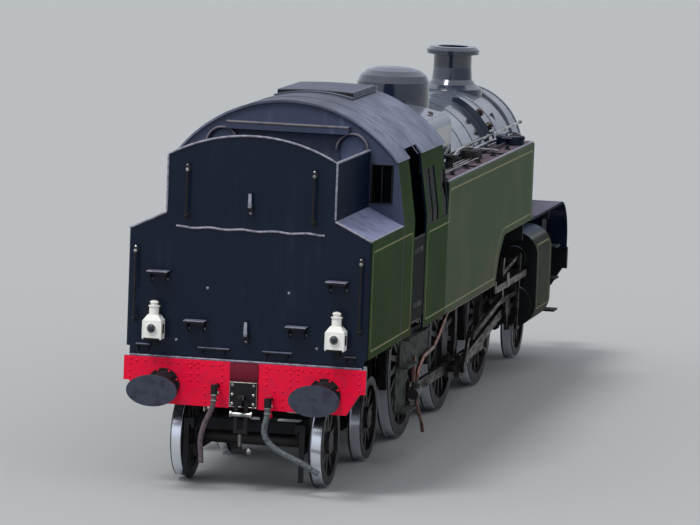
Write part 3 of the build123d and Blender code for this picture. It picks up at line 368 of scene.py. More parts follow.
# The boiler black is tinted navy: a painted reflection of the sky on the glossy cladding.
CLADDING = enamel("black_enamel_on_boiler_cladding", "#161F33", "#27304A", "#3E4458", 0.12, 0.0030, shine=0.8,
                  coat=(0.7, 0.06))
WHITE_ENAMEL = enamel("white_enamel_on_lamp_casing", "#EDEBE4", "#D5D2C8", "#C9C5BC", 0.35, 0.0003)
DARK_RED = enamel("dull_red_enamel_on_doubling_plate", "#6E1428", "#3E1420", "#4A2430", 0.5, 0.0006)

# %% [markdown]
# ## Red beam with a black back
# The buffer beam is one thick plate, red in front, black behind, with a pale lilac-grey painted highlight along its
# top edge.
# Its middle is painted darker, round the hook. The place and the direction of a face tell these apart,
# so the plate needs no cutting up.

# %% Beam paint
BEAM_FACE = 0.002  # depth that still counts as the front face
DARK_MIDDLE_HALF = 0.155  # half the width of the dark middle


def beam_paint():
    """Red on the outer face only: the back is black, and the top face has a pale lilac-grey painted highlight."""
    material, tree, shader, place = new_material("red_beam_face_with_black_back", BEAM_RED, 0.4)
    along = add_node(tree, SEPARATE, [place], out="X")
    reach = add_node(tree, MATH, [along], operation="ABSOLUTE")
    outer = add_node(tree, MATH, [reach, BEAM_X - BEAM_FACE], operation="GREATER_THAN")
    chalky = patches(tree, place, 80, 0.45, 0.75)
    # The top face takes a pale lilac-grey in patches: a painted highlight where the sky lights the beam's top.
    painted_top_highlight = add_node(tree, MIX, {0: chalky, 6: "#8E8A9C", 7: "#5E5668"}, **RGBA)
    edge = add_node(tree, MIX, {0: upward_share(tree, 0.5, 0.8), 6: "#15161A", 7: painted_top_highlight}, **RGBA)
    half_chalky = add_node(tree, MATH, [chalky, 0.5], operation="MULTIPLY")
    red = add_node(tree, MIX, {0: half_chalky, 6: BEAM_RED, 7: "#B02044"}, **RGBA)
    # The middle of the red face is made dark red, round the hook.
    middle = add_node(tree, MATH, [off_centre(tree, place), DARK_MIDDLE_HALF], operation="LESS_THAN")
    dark_middle = add_node(tree, MATH, [middle, 0.85], operation="MULTIPLY")
    red = add_node(tree, MIX, {0: dark_middle, 6: red, 7: "#2A1016"}, **RGBA)
    fill(tree, shader, {
        "Base Color": add_node(tree, MIX, {0: outer, 6: edge, 7: red}, **RGBA),
        "Specular IOR Level": 0.2,
        "Normal": uneven(tree, place, 300, 0.0006, detail=1.0),
    })
    return material


BEAM_PAINT = beam_paint()

# %% [markdown]
# ## Dull iron, oily motion and bare steel
# Frames and castings carry a thin black paint that brake dust and oil turn to a matt brown-black.
# Rods are bare forged steel, wiped with oil, and pipes and valves are copper and brass under a film of soot.
# A painted casting is no metal to the eye, so it is a dark plastic-like surface, and the rods are true metal.

# %% Painted iron, oiled steel and polished steel
def sooty_iron(name, colour, dirt, roughness):
    """Thinly painted cast iron with brown road dirt in spots, and the fine grain of sand casting."""
    material, tree, shader, place = new_material(name, colour, roughness)
    grime = patches(tree, place, 120, 0.42, 0.7)
    fill(tree, shader, {
        "Base Color": add_node(tree, MIX, {0: grime, 6: colour, 7: dirt}, **RGBA),
        "Roughness": add_node(tree, MAP_RANGE, [grime, 0.0, 1.0, roughness, 0.85], **SMOOTH),
        "Specular IOR Level": 0.25,
        "Normal": uneven(tree, place, 20, 0.0015),
    })
    return material


def oiled_steel(name, colour, shade, roughness):
    """Forged metal, ground along its length and wiped with oil, with darker films of oil along it."""
    material, tree, shader, place = new_material(name, colour, roughness, metallic=1.0)
    films = patches(tree, place, 80, 0.35, 0.7, stretch=(0.3, 1, 1))
    fill(tree, shader, {
        "Base Color": add_node(tree, MIX, {0: films, 6: colour, 7: shade}, **RGBA),
        "Roughness": add_node(tree, MAP_RANGE, [films, 0.0, 1.0, roughness, roughness + 0.25], **SMOOTH),
        "Normal": uneven(tree, place, 10, 0.0003, stretch=(0.1, 1, 1)),
    })
    return material


COPPER_BROWN = "#9A7268"
COPPER_SHADE = "#5A4038"
FRAME_IRON = sooty_iron("black_paint_on_rolled_frame_plate", "#10131A", "#1E1B1A", 0.6)
CAST_IRON = sooty_iron("black_paint_on_cast_iron", "#14161B", "#221E1D", 0.55)
BUFFER_STEEL = sooty_iron("worn_grey_forged_buffer_head", "#3A3E4C", "#2E2C38", 0.55)
TREAD_GREY = sooty_iron("boot_worn_grey_paint_on_treads", "#6C6E82", "#4C4B5A", 0.55)
STEP_GREY = sooty_iron("worn_grey_green_tread_plate", "#343B34", "#252622", 0.65)
DRY_PAINT = sooty_iron("grey_sun_dried_paint", "#716C70", "#585660", 0.7)
MOTION_STEEL = oiled_steel("oiled_forged_steel", "#5A5650", "#2A2622", 0.36)
BRIGHT_STEEL = oiled_steel("polished_turned_steel", "#B9B8B4", "#7C7974", 0.22)
COPPER = oiled_steel("weathered_drawn_copper_pipe", COPPER_BROWN, COPPER_SHADE, 0.4)
BRASS = oiled_steel("wiped_cast_brass", "#8A6C3A", "#4E3C20", 0.35)
AGED_BRASS = oiled_steel("sooty_cast_brass", "#5A5048", "#2E2A28", 0.4)


def injector_finish():
    """Weathered copper pipe on a black cast body, told apart by the place of the body."""
    material, tree, shader, place = new_material("copper_pipe_on_black_injector_body", COPPER_BROWN, 0.4)
    along = add_node(tree, SEPARATE, [place], out="X")
    height = add_node(tree, SEPARATE, [place], out="Z")
    behind = add_node(tree, MATH, [along, -3.07], operation="LESS_THAN")
    above_foot = add_node(tree, MATH, [height, 0.62 + RAIL], operation="GREATER_THAN")
    below_head = add_node(tree, MATH, [height, 0.83 + RAIL], operation="LESS_THAN")
    body = add_node(tree, MATH, [above_foot, below_head], operation="MULTIPLY")
    body = add_node(tree, MATH, [behind, body], operation="MULTIPLY")
    films = patches(tree, place, 80, 0.35, 0.7)
    pipe = add_node(tree, MIX, {0: films, 6: COPPER_BROWN, 7: COPPER_SHADE}, **RGBA)
    fill(tree, shader, {
        "Base Color": add_node(tree, MIX, {0: body, 6: pipe, 7: "#1B1A1C"}, **RGBA),
        "Metallic": add_node(tree, MATH, [1.0, body], operation="SUBTRACT"),
        "Normal": uneven(tree, place, 10, 0.0003),
    })
    return material


INJECTORS = injector_finish()

# %% [markdown]
# ## Roof, hoses, glass and wood
# The roof is matt paint under ash, darkest along its crown, where the chimney's soot falls.
# The hoses are rubber wound with canvas, the windows are float glass with a film of dust, and the floor is oak.
# Each of them needs only a colour, a roughness and one pattern with the size of its own grain or dirt.

# %% Roof dust, rubber, glass, wood and pale worn edges
def dusty_roof():
    """Matt grey paint on the roof under ash, with runs of rain across it and soot along the crown."""
    material, tree, shader, place = new_material("matt_grey_paint_under_ash", "#6A6E80", 0.7)
    clouds = patches(tree, place, 250, 0.3, 0.7)
    runs = patches(tree, place, 50, 0.5, 0.8, stretch=(1, 0.15, 0.15))
    wet = add_node(tree, MATH, [runs, clouds], operation="MULTIPLY")
    crown = add_node(tree, MAP_RANGE, [off_centre(tree, place), 0.75, 0.35, 0.0, 0.7], **SMOOTH)
    ash = add_node(tree, MIX, {0: clouds, 6: "#585C70", 7: "#747A8E"}, **RGBA)
    ash = add_node(tree, MIX, {0: crown, 6: ash, 7: "#383A48"}, **RGBA)
    fill(tree, shader, {
        "Base Color": add_node(tree, MIX, {0: wet, 6: ash, 7: "#3F4456"}, **RGBA),
        "Normal": uneven(tree, place, 30, 0.001),
    })
    return material


def rubber():
    """Canvas-wound rubber hose, dull: brake hoses dry to a bluish grey, and heating hoses to a brown one."""
    material, tree, shader, place = new_material("wound_rubber_hose", "#2B2A2C", 0.7)
    worn = patches(tree, place, 30, 0.4, 0.7)
    along = add_node(tree, SEPARATE, [place], out="X")
    across = add_node(tree, SEPARATE, [place], out="Y")
    corner = add_node(tree, MATH, [along, across], operation="MULTIPLY")
    brake = add_node(tree, MATH, [corner, 0.0], operation="GREATER_THAN")
    dry = add_node(tree, MIX, {0: brake, 6: "#63505A", 7: "#5C6468"}, **RGBA)
    fill(tree, shader, {
        "Base Color": add_node(tree, MIX, {0: worn, 6: dry, 7: "#3A3638"}, **RGBA),
        "Normal": uneven(tree, place, 6, 0.0008),
    })
    return material


def window_glass():
    """Float glass in a cab window: clear at the sides, and in the arched rear panes nearly opaque and pale blue-grey,
    a painted sky reflection.
    """
    material, tree, shader, place = new_material("float_glass_with_dust_film_and_painted_sky_in_arched_panes", "#8E9A9A", 0.06)
    along = add_node(tree, SEPARATE, [place], out="X")
    rear = add_node(tree, MATH, [along, -4.4], operation="LESS_THAN")
    inner = add_node(tree, MATH, [off_centre(tree, place), 0.9], operation="LESS_THAN")
    arched = add_node(tree, MATH, [rear, inner], operation="MULTIPLY")
    fill(tree, shader, {
        "IOR": 1.04,
        # The arched rear panes are pale blue-grey and nearly opaque: a painted reflection of the sky.
        "Base Color": add_node(tree, MIX, {0: arched, 6: "#3A4246", 7: "#7A82A0"}, **RGBA),
        "Transmission Weight": add_node(tree, MIX, {0: arched, 2: 0.95, 3: 0.05}),
        "Roughness": patches(tree, place, 200, 0.3, 0.8, 0.03, 0.2),
    })
    return material


def lens_glass():
    """Pressed bull's-eye glass over a dark lamp inside: a hard sparkle on near-black blue."""
    material, tree, shader, place = new_material("pressed_glass_over_dark_lamp", "#141A24", 0.05)
    depth = spots(tree, place, 30)
    fill(tree, shader, {
        "IOR": 1.5,
        "Base Color": add_node(tree, MIX, {0: depth, 6: "#10151E", 7: "#2A3340"}, **RGBA),
    })
    return material


def worn_edge():
    """Bare metal and pale grey paint on an edge that boots, shovels and coal rub."""
    material, tree, shader, place = new_material("paint_rubbed_to_bare_steel", "#8C8A9A", 0.5)
    chips = patches(tree, place, 50, 0.4, 0.6)
    fill(tree, shader, {
        "Base Color": add_node(tree, MIX, {0: chips, 6: "#94929F", 7: "#747280"}, **RGBA),
        "Normal": uneven(tree, place, 20, 0.0006),
    })
    return material


def floor_boards():
    """Oak boards on the cab floor, oiled and trodden with coal, with their grain along the engine."""
    material, tree, shader, place = new_material("oiled_oak_boards", "#3A2A1E", 0.65)
    grain = patches(tree, place, 20, 0.35, 0.7, stretch=(0.08, 1, 1))
    fill(tree, shader, {
        "Base Color": add_node(tree, MIX, {0: grain, 6: "#46342A", 7: "#241A14"}, **RGBA),
        "Normal": add_node(tree, "ShaderNodeBump", {"Height": grain, "Distance": 0.001}),
    })
    return material


ROOF = dusty_roof()
RUBBER = rubber()
GLASS = window_glass()
LENS_GLASS = lens_glass()
WORN = worn_edge()
BOARDS = floor_boards()

# %% [markdown]
# ## Wheels in two finishes
# A spoked wheel is a painted casting with a steel tyre shrunk on, and the rail polishes the tread of the tyre.
# Casting and tyre could be two meshes, but one shader does both: the distance from the axle decides which is which,
# so the bright ring is exactly round.

# %% Painted wheel centre with a bright tyre
TYRE_DEPTH = 0.062
TYRE_STEP = 0.003  # half the width of the dark line where the tyre meets the casting


def wheel_finish(name, x, radius):
    """Black painted spokes inside a steel tyre with a bright tread, told apart by the distance from the axle."""
    material, tree, shader, place = new_material(f"painted_casting_with_steel_tyre_{name}", "#18181A", 0.45)
    offset = add_node(tree, VECTOR_MATH, [place, (x, 0, radius + RAIL)], operation="SUBTRACT")
    flat = add_node(tree, VECTOR_MATH, [offset, SIDE_VIEW], operation="MULTIPLY")
    reach = add_node(tree, VECTOR_MATH, [flat], out="Value", operation="LENGTH")
    seam = radius - TYRE_DEPTH
    tyre = add_node(tree, MAP_RANGE, [reach, seam - TYRE_STEP, seam + TYRE_STEP], **SMOOTH)
    outward = off_centre(tree, place)
    from_flange = add_node(tree, MAP_RANGE, [outward, 0.700, 0.716], **SMOOTH)
    to_rim = add_node(tree, MAP_RANGE, [outward, 0.818, 0.806], **SMOOTH)
    band = add_node(tree, MATH, [from_flange, to_rim], operation="MULTIPLY")
    rolled = add_node(tree, MAP_RANGE, [reach, radius - 0.012, radius - 0.004], **SMOOTH)
    tread = add_node(tree, MATH, [rolled, band], operation="MULTIPLY")
    grime = patches(tree, place, 100, 0.4, 0.7)
    paint = add_node(tree, MIX, {0: grime, 6: "#16161A", 7: "#2E2823"}, **RGBA)
    steel = add_node(tree, MIX, {0: grime, 6: "#343436", 7: "#242122"}, **RGBA)
    # The tread's near-white blue-grey is polished steel, and partly a painted highlight of the sky.
    steel = add_node(tree, MIX, {0: tread, 6: steel, 7: "#ECEFF6"}, **RGBA)
    dull = add_node(tree, MAP_RANGE, [grime, 0.0, 1.0, 0.45, 0.75], **SMOOTH)
    sharp = add_node(tree, MAP_RANGE, [tread, 0.0, 1.0, 0.4, 0.24], **SMOOTH)
    fill(tree, shader, {
        "Base Color": add_node(tree, MIX, {0: tyre, 6: paint, 7: steel}, **RGBA),
        "Metallic": tyre,
        "Roughness": add_node(tree, MIX, {0: tyre, 2: dull, 3: sharp}),
        "Normal": uneven(tree, place, 30, 0.0008),
    })
    return material


WHEELS = {name: wheel_finish(name, x, radius) for name, (x, radius) in AXLES.items()}
print(len(WHEELS), "wheel finishes")

# %% [markdown]
# ## Finishes on the CAD pieces
# A CAD piece whose shape is right keeps it, and only its material slot changes.
# A table from piece to finish is easier to check against the photograph than a line of code for each piece.

# %% Give each carried-over piece its finish
FINISH_TABLE = (
    (TANK_ENAMEL, "side_tanks"),
    (CAB_ENAMEL, "cab_sides"),
    (DOOR_ENAMEL, "cab_door_left cab_door_right"),
    (BUNKER_ENAMEL, "bunker"),
    (BACK_ENAMEL, "cab_back_plate"),
    (BLACK_ENAMEL, "cab_front_plate running_plate tank_lid_left tank_lid_right"),
    (CLADDING, "smokebox smokebox_door chimney boiler firebox dome boiler_valves"),
    (CYLINDER_ENAMEL, "cylinders"),
    (BEAM_PAINT, "buffer_beams"),
    (WHITE_ENAMEL, "headlamps"),
    (ROOF, "cab_roof"),
    (FRAME_IRON, "main_frames frame_stretchers ashpan pony_truck bogie_frame"),
    (CAST_IRON, "brake_gear buffer_housings drawgear bunker_steps hose_stands"),
    (BUFFER_STEEL, "buffer_heads"),
    (STEP_GREY, "front_steps cab_steps"),
    (MOTION_STEEL, "valve_gear_left valve_gear_right slide_bars crosshead_left crosshead_right"),
    (MOTION_STEEL, "coupling_rod_left coupling_rod_right con_rod_left con_rod_right"),
    (INJECTORS, "injectors"),
    (BOARDS, "cab_floor"),
    (GLASS, "cab_glass"),
)
FINISHES = {name: material for material, names in FINISH_TABLE for name in names.split()}
for name, (x, radius) in AXLES.items():
    FINISHES[f"{name}_wheelset"] = WHEELS[name]


def finish(piece, material):
    """Put one material on every slot of a mesh."""
    piece.data.materials.clear()
    piece.data.materials.append(material)


for name, node in nodes.items():
    finish(node, FINISHES.get(name, CAST_IRON))
print("finished", len(nodes), "CAD pieces;", sorted(set(nodes) - set(FINISHES)))

# %% [markdown]
# ## Small shapes for trim and fittings
# Trim is made from four simple moves: turn a profile, run a round bar along a line, push an outline, ease a block.
# Curves with a bevel could do two of them, but points and faces give control over every end and every seam.
# Each one adds to a bmesh, so a whole fitting becomes one mesh on the body that carries it.
# These pieces are drawn from the rail head up, like the drawings of a real engine, and lifted by the flange depth.

# %% Shape helpers
def bridge(shape, rings, closed=False):
    """Faces between neighbouring rings of points, with caps on the open ends. A ring of one point is a tip."""
    pairs = list(zip(rings, rings[1:])) + ([(rings[-1], rings[0])] if closed else [])
    for first, second in pairs:
        for index in range(max(len(first), len(second))):
            corners = [first[index % len(first)], first[(index + 1) % len(first)],
                       second[(index + 1) % len(second)], second[index % len(second)]]
            shape.faces.new(list(dict.fromkeys(corners)))
    for ring in () if closed else (rings[0], rings[-1]):
        if len(ring) > 2:
            shape.faces.new(ring)


def turned(shape, profile, base, along=(0, 0, 1), sides=32, closed=False):
    """A lathe shape from pairs of distance along the axis and radius."""
    axis = Vector(along).normalized()
    side = axis.orthogonal().normalized()
    other = axis.cross(side)
    rings = []
    for distance, radius in profile:
        middle = Vector(base) + distance * axis
        turns = [2 * pi * step / sides for step in range(sides if radius > 0 else 1)]
        rings.append([shape.verts.new(middle + radius * (cos(a) * side + sin(a) * other)) for a in turns])
    bridge(shape, rings, closed)


def rounded(points, reach, steps=5):
    """A line of points with each corner replaced by a smooth bend that starts a reach before it."""
    points = [Vector(p) for p in points]
    line = [points[0]]
    for before, corner, after in zip(points, points[1:], points[2:]):
        cut_in = min(reach, (corner - before).length * 0.49)
        cut_out = min(reach, (after - corner).length * 0.49)
        first = corner + (before - corner).normalized() * cut_in
        last = corner + (after - corner).normalized() * cut_out
        for step in range(steps + 1):
            t = step / steps
            line.append((1 - t) ** 2 * first + 2 * t * (1 - t) * corner + t * t * last)
    return line + [points[-1]]


def tube(shape, points, radius, sides=10, closed=False):
    """A round bar along a line of points."""
    points = [Vector(p) for p in points]
    last = len(points) - 1
    normal = None
    rings = []
    for index, point in enumerate(points):
        back = points[index - 1] if index or closed else point
        front = points[(index + 1) % len(points)] if index < last or closed else point
        way = (front - back).normalized()
        normal = way.orthogonal() if normal is None else normal - normal.dot(way) * way
        normal.normalize()
        other = way.cross(normal)
        turns = [2 * pi * step / sides for step in range(sides)]
        rings.append([shape.verts.new(point + radius * (cos(a) * normal + sin(a) * other)) for a in turns])
    bridge(shape, rings, closed)


def prism(shape, outline, push, edge=0.0):
    """A flat outline pushed along a vector, with its edges eased."""
    near = [shape.verts.new(Vector(p)) for p in outline]
    far = [shape.verts.new(Vector(p) + Vector(push)) for p in outline]
    bridge(shape, [near, far])
    if edge:
        edges = list({e for v in near + far for e in v.link_edges})
        bmesh.ops.bevel(shape, geom=edges, offset=edge, segments=2, affect="EDGES", profile=0.5)


def block(shape, low, high, edge=0.004):
    """A rectangular block between two corners, with its edges eased."""
    (x0, y0, z0), (x1, y1, z1) = low, high
    prism(shape, [(x0, y0, z0), (x1, y0, z0), (x1, y1, z0), (x0, y1, z0)], (0, 0, z1 - z0), edge)


def arch(half, side_z, top_z, steps=28):
    """Points across the engine on a circular arch, as pairs of Y and Z."""
    rise = top_z - side_z
    radius = (half * half + rise * rise) / (2 * rise)
    ys = [half * (2 * step / steps - 1) for step in range(steps + 1)]
    return [(y, top_z - radius + sqrt(radius * radius - y * y)) for y in ys]


def lift_and_ride(piece, body):
    """Lift a piece's mesh by the flange depth, link it and put it on its body."""
    piece.data.transform(Matrix.Translation((0, 0, RAIL)))
    if piece.name not in bpy.context.scene.collection.objects:
        bpy.context.scene.collection.objects.link(piece)
    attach(piece, body)


def piece_from(shape, name, material, body="locomotive"):
    """Turn a finished bmesh into a piece with one material, smooth where its faces meet at a low angle."""
    bmesh.ops.recalc_face_normals(shape, faces=shape.faces)
    mesh = bpy.data.meshes.new(name)
    shape.to_mesh(mesh)
    shape.free()
    mesh.shade_smooth()
    mesh.set_sharp_from_angle(angle=radians(35))
    mesh.materials.append(material)
    piece = bpy.data.objects.new(name, mesh)
    lift_and_ride(piece, body)
    print(name, len(mesh.polygons), "faces")
    return piece


# %% [markdown]
# ## Rivets and bolts by Geometry Nodes
# A locomotive has thousands of like heads, and modelling or copying them one by one would take hours.
# One node group sets a domed head on every point it is given, turned to the direction stored with the point,
# so a row of rivets is only a list of places. The result is made a plain mesh, because an export drops instances.

# %% A node group that sets heads on points
DOME_RINGS = 5


def head_group():
    """Geometry nodes: one domed head on each point, facing the way that its attribute says."""
    group = bpy.data.node_groups.new("heads_on_points", "GeometryNodeTree")
    for name, kind in (("Geometry", "Geometry"), ("Radius", "Float"), ("Height", "Float"), ("Sides", "Int"),
                       ("Finish", "Material")):
        group.interface.new_socket(name, in_out="INPUT", socket_type=f"NodeSocket{kind}")
    group.interface.new_socket("Geometry", in_out="OUTPUT", socket_type="NodeSocketGeometry")
    given = group.nodes.new("NodeGroupInput").outputs
    dome = {"Segments": given["Sides"], "Rings": DOME_RINGS, "Radius": 1.0}
    sphere = add_node(group, "GeometryNodeMeshUVSphere", dome, out="Mesh")
    facing = add_node(group, "GeometryNodeInputNamedAttribute", {"Name": "facing"}, data_type="FLOAT_VECTOR")
    turn = add_node(group, "FunctionNodeAlignRotationToVector", {"Vector": facing}, axis="Z")
    size = add_node(group, "ShaderNodeCombineXYZ", [given["Radius"], given["Radius"], given["Height"]])
    domes = add_node(group, "GeometryNodeInstanceOnPoints", {
        "Points": given["Geometry"], "Instance": sphere, "Rotation": turn, "Scale": size})
    real = add_node(group, "GeometryNodeRealizeInstances", {"Geometry": domes})
    painted = add_node(group, "GeometryNodeSetMaterial", {"Geometry": real, "Material": given["Finish"]})
    result = group.nodes.new("NodeGroupOutput")
    fill(group, result, {"Geometry": painted})
    return group


HEADS = head_group()


def heads(name, places, radius, height, material, body="locomotive", sides=10):
    """Rivet or bolt heads at places, each a point and the direction it faces, joined into one piece."""
    mesh = bpy.data.meshes.new(f"{name}_points")
    mesh.from_pydata([point for point, facing in places], [], [])
    facing = mesh.attributes.new("facing", "FLOAT_VECTOR", "POINT")
    facing.data.foreach_set("vector", [value for point, direction in places for value in direction])
    dots = bpy.data.objects.new(f"{name}_points", mesh)
    bpy.context.scene.collection.objects.link(dots)
    modifier = dots.modifiers.new("heads", "NODES")
    modifier.node_group = HEADS
    values = {"Radius": radius, "Height": height, "Sides": sides, "Finish": material}
    for item in HEADS.interface.items_tree:
        if item.in_out == "INPUT" and item.name in values:
            modifier[item.identifier] = values[item.name]
    evaluated = dots.evaluated_get(bpy.context.evaluated_depsgraph_get())
    plain = bpy.data.meshes.new_from_object(evaluated)
    plain.name = name
    bpy.data.objects.remove(dots)
    plain.shade_smooth()
    piece = bpy.data.objects.new(name, plain)
    lift_and_ride(piece, body)
    print(name, len(places), "heads")
    return piece


def ring_of(centre, radius, count, along):
    """Evenly spaced points on a circle."""
    axis = Vector(along).normalized()
    side = axis.orthogonal().normalized()
    other = axis.cross(side)
    turns = [2 * pi * (step + 0.5) / count for step in range(count)]
    return [Vector(centre) + radius * (cos(a) * side + sin(a) * other) for a in turns]


# %% [markdown]
# ## Bunker back
# The back of the bunker is what the photograph shows best: a black sheet with half-round beading along its top,
# a wavy strip below, four steps, lamp irons, handrails and two white oil lamps just above the red beam.
# The beading is worn pale by shovels, so it has its own material.
# It could be bevelled out of the sheet's edge, but a round bar along a line of points is simpler and as round.

# %% Beading on the bunker
shape = bmesh.new()
crown = [(BUNKER_X - 0.004, y, z + 0.004) for y, z in arch(BUNKER_HALF, 3.49, 3.726)]
foot_z = SHOULDER_HIGH + 0.02
tube(shape, [(BUNKER_X - 0.004, -BUNKER_HALF, foot_z)] + crown + [(BUNKER_X - 0.004, BUNKER_HALF, foot_z)], 0.011)
for side in (1, -1):
    y = side * (BUNKER_HALF - 0.008)
    shoulder = [(BUNKER_X - 0.003, side * BUNKER_HALF, SHOULDER_HIGH),
                (BUNKER_X - 0.003, side * 1.292, SHOULDER_LOW + 0.006)]
    tube(shape, [(BUNKER_X, y, 3.494), (CAB_BACK_X - 0.005, y, 3.494)], 0.014)
    tube(shape, shoulder, 0.011)
    tube(shape, [(BUNKER_X, side * 1.296, SHOULDER_LOW), (CAB_BACK_X - 0.005, side * 1.296, SHOULDER_LOW)], 0.012)
piece_from(shape, "bunker_beading", WORN)

shape = bmesh.new()
wave = [(BUNKER_X - 0.004, y / 20, 2.734 + 0.007 * sin(y * 0.9)) for y in range(-16, 17)]
tube(shape, wave, 0.012, sides=8)
piece_from(shape, "bunker_wavy_strip", WORN)

# %% [markdown]
# ## Steps and lamp irons
# The crew climbs the bunker on small tread plates, each on two gusset brackets, and hangs lamps on upright irons.
# A gusset is a thin triangle, so an outline pushed sideways makes it in one move.

# %% Brackets, treads and lamp irons on the bunker back
STEP_PLACES = ((0.965, 2.242), (-0.965, 2.242), (0.548, 1.741), (-0.548, 1.741))
GUSSET = 0.012


def gusset(shape, y, top, reach, drop):
    """A triangular bracket under a plate, standing out of the bunker back."""
    start = y - GUSSET / 2
    corners = [(BUNKER_X + 0.002, start, top), (BUNKER_X - reach, start, top), (BUNKER_X + 0.002, start, drop)]
    prism(shape, corners, (0, GUSSET, 0), 0.002)


shape = bmesh.new()
tops = bmesh.new()
for y, half in ((1.11, 0.08), (0.345, 0.17), (-0.34, 0.16), (-1.13, 0.06)):
    block(tops, (BUNKER_X - 0.057, y - half, 1.466), (BUNKER_X - 0.002, y + half, 1.474), 0.002)
    block(shape, (BUNKER_X - 0.055, y - half, 1.452), (BUNKER_X + 0.004, y + half, 1.468))
    for offset in (-0.7 * half, 0.7 * half):
        gusset(shape, y + offset, 1.452, 0.045, 1.39)
piece_from(shape, "bunker_foot_brackets", CAST_IRON)

shape = bmesh.new()
for y, z in STEP_PLACES:
    block(tops, (BUNKER_X - 0.134, y - 0.114, z + 0.010), (BUNKER_X - 0.002, y + 0.114, z + 0.020), 0.003)
    for offset in (-0.085, 0.085):
        gusset(shape, y + offset, z - 0.01, 0.115, z - 0.12)
piece_from(shape, "bunker_step_brackets", CAST_IRON)
piece_from(tops, "bunker_step_treads", TREAD_GREY)
# Pale bars along the front edges of the treads, which are partly wear and partly a painted highlight, and along the
# top edge of the beam, which is a painted highlight.
shape = bmesh.new()
for y, z in STEP_PLACES:
    tube(shape, [(BUNKER_X - 0.134, y - 0.110, z + 0.014), (BUNKER_X - 0.134, y + 0.110, z + 0.014)], 0.006, sides=8)
tube(shape, [(BUNKER_X - 0.030, -1.255, 1.350), (BUNKER_X - 0.030, 1.255, 1.350)], 0.010, sides=8)
piece_from(shape, "bunker_step_and_beam_edges", WORN)

shape = bmesh.new()
for z in (1.60, 2.96):
    x = BUNKER_X - 0.064
    tongue = [(x, -0.020, z + 0.02), (x, 0.020, z + 0.02), (x, 0.016, z + 0.17), (x, -0.016, z + 0.17)]
    prism(shape, tongue, (-0.012, 0, 0), 0.003)
piece_from(shape, "lamp_iron_tongues", WORN)

places = []
for side in (1, -1):
    for y, z in ((0.965, 2.165), (0.548, 1.664)):
        places += [((BUNKER_X, side * y + dy, z), (-1, 0, 0)) for dy in (-0.085, 0.085)]
    places += [((BUNKER_X, side * 0.44, 2.10), (-1, 0, 0)), ((BUNKER_X, side * 0.76, 1.53), (-1, 0, 0))]
for z in (1.56, 1.645, 2.92, 3.005):
    places.append(((BUNKER_X - 0.02, 0, z), (-1, 0, 0)))
heads("bunker_back_studs", places, 0.016, 0.010, WORN)
places = [((BUNKER_X, step * 0.11, 1.385), (-1, 0, 0)) for step in range(-11, 12)]
heads("bunker_foot_rivets", places, 0.011, 0.007, BLACK_ENAMEL)

# %% [markdown]
# ## Handrail knobs
# A handrail is held by turned knobs, and hands keep its top bright.
# A knob is round, so a profile turned about an axis makes it, as a lathe does.

# %% Handrail knobs and bright tops
KNOB = [(-0.024, 0.0), (-0.018, 0.016), (0, 0.023), (0.018, 0.016), (0.024, 0.0)]
KNOB_FOOT = [(0, 0.030), (0.006, 0.030), (0.010, 0.020)]
RAIL_TOP = [(-0.002, 0.0155), (0.010, 0.0155), (0.018, 0.009), (0.020, 0.0)]
shape = bmesh.new()
dull = bmesh.new()
for side in (1, -1):
    for y, low, high in ((1.215, 1.70, 2.498), (0.683, 2.82, 3.39)):
        x = BUNKER_X - 0.070
        for knob, z in ((dull, low + 0.04), (shape, high - 0.04)):
            turned(knob, KNOB, (x, side * y, z), sides=16)
            turned(dull, KNOB_FOOT, (BUNKER_X, side * y, z), (-1, 0, 0), sides=16)
        turned(shape, RAIL_TOP, (x, side * y, high), sides=16)
piece_from(shape, "bunker_handrail_tops", BRIGHT_STEEL)
piece_from(dull, "bunker_handrail_knobs", CAST_IRON)

# %% [markdown]
# ## Oil lamps
# A headlamp is a square tin case with sloping shoulders, a round chimney with a cap, a bail handle and a bull's-eye.
# Turned rings and a thin bent wire are enough, and they are what the eye looks for.

# %% Lamp details
LAMP_X = BUNKER_X - 0.105
LAMP_Y = 0.985
CHIMNEY_FOOT = [(0, 0.051), (0.004, 0.060), (0.014, 0.062), (0.020, 0.051)]
CHIMNEY_CAP = [(0, 0.039), (0.003, 0.048), (0.010, 0.046), (0.018, 0.036), (0.024, 0.016), (0.026, 0.0)]
LENS_RIM = [(-0.002, 0.047), (0.006, 0.047), (0.008, 0.041), (0.002, 0.038)]
BULLS_EYE = [(-0.002, 0.039), (0.004, 0.037), (0.012, 0.028), (0.018, 0.014), (0.020, 0.0)]
tin = bmesh.new()
dark = bmesh.new()
lens = bmesh.new()
for side in (1, -1):
    y = side * LAMP_Y
    turned(tin, CHIMNEY_FOOT, (LAMP_X, y, 1.878), sides=24, closed=True)
    turned(tin, CHIMNEY_CAP, (LAMP_X, y, 1.924), sides=24)
    bail = [(LAMP_X, y + across, z) for across, z in
            ((-0.066, 1.79), (-0.078, 1.90), (-0.034, 1.955), (0.034, 1.955), (0.078, 1.90), (0.066, 1.79))]
    tube(dark, rounded(bail, 0.03), 0.005, sides=8)
    turned(dark, LENS_RIM, (LAMP_X - 0.100, y, 1.660), (-1, 0, 0), sides=28, closed=True)
    turned(lens, BULLS_EYE, (LAMP_X - 0.102, y, 1.660), (-1, 0, 0), sides=28)
    for across in (-0.101, 0.101):
        tube(tin, [(LAMP_X - 0.085, y + across, 1.55), (LAMP_X - 0.085, y + across, 1.735)], 0.004, sides=6)
    block(dark, (BUNKER_X - 0.196, y - 0.088, 1.540), (BUNKER_X - 0.186, y + 0.088, 1.556), 0.002)
    block(dark, (LAMP_X - 0.020, y - 0.110, 1.60), (LAMP_X + 0.020, y - 0.099, 1.70), 0.003)
piece_from(tin, "lamp_shoulders_and_caps", WHITE_ENAMEL)
piece_from(dark, "lamp_handles_and_rims", CAST_IRON)
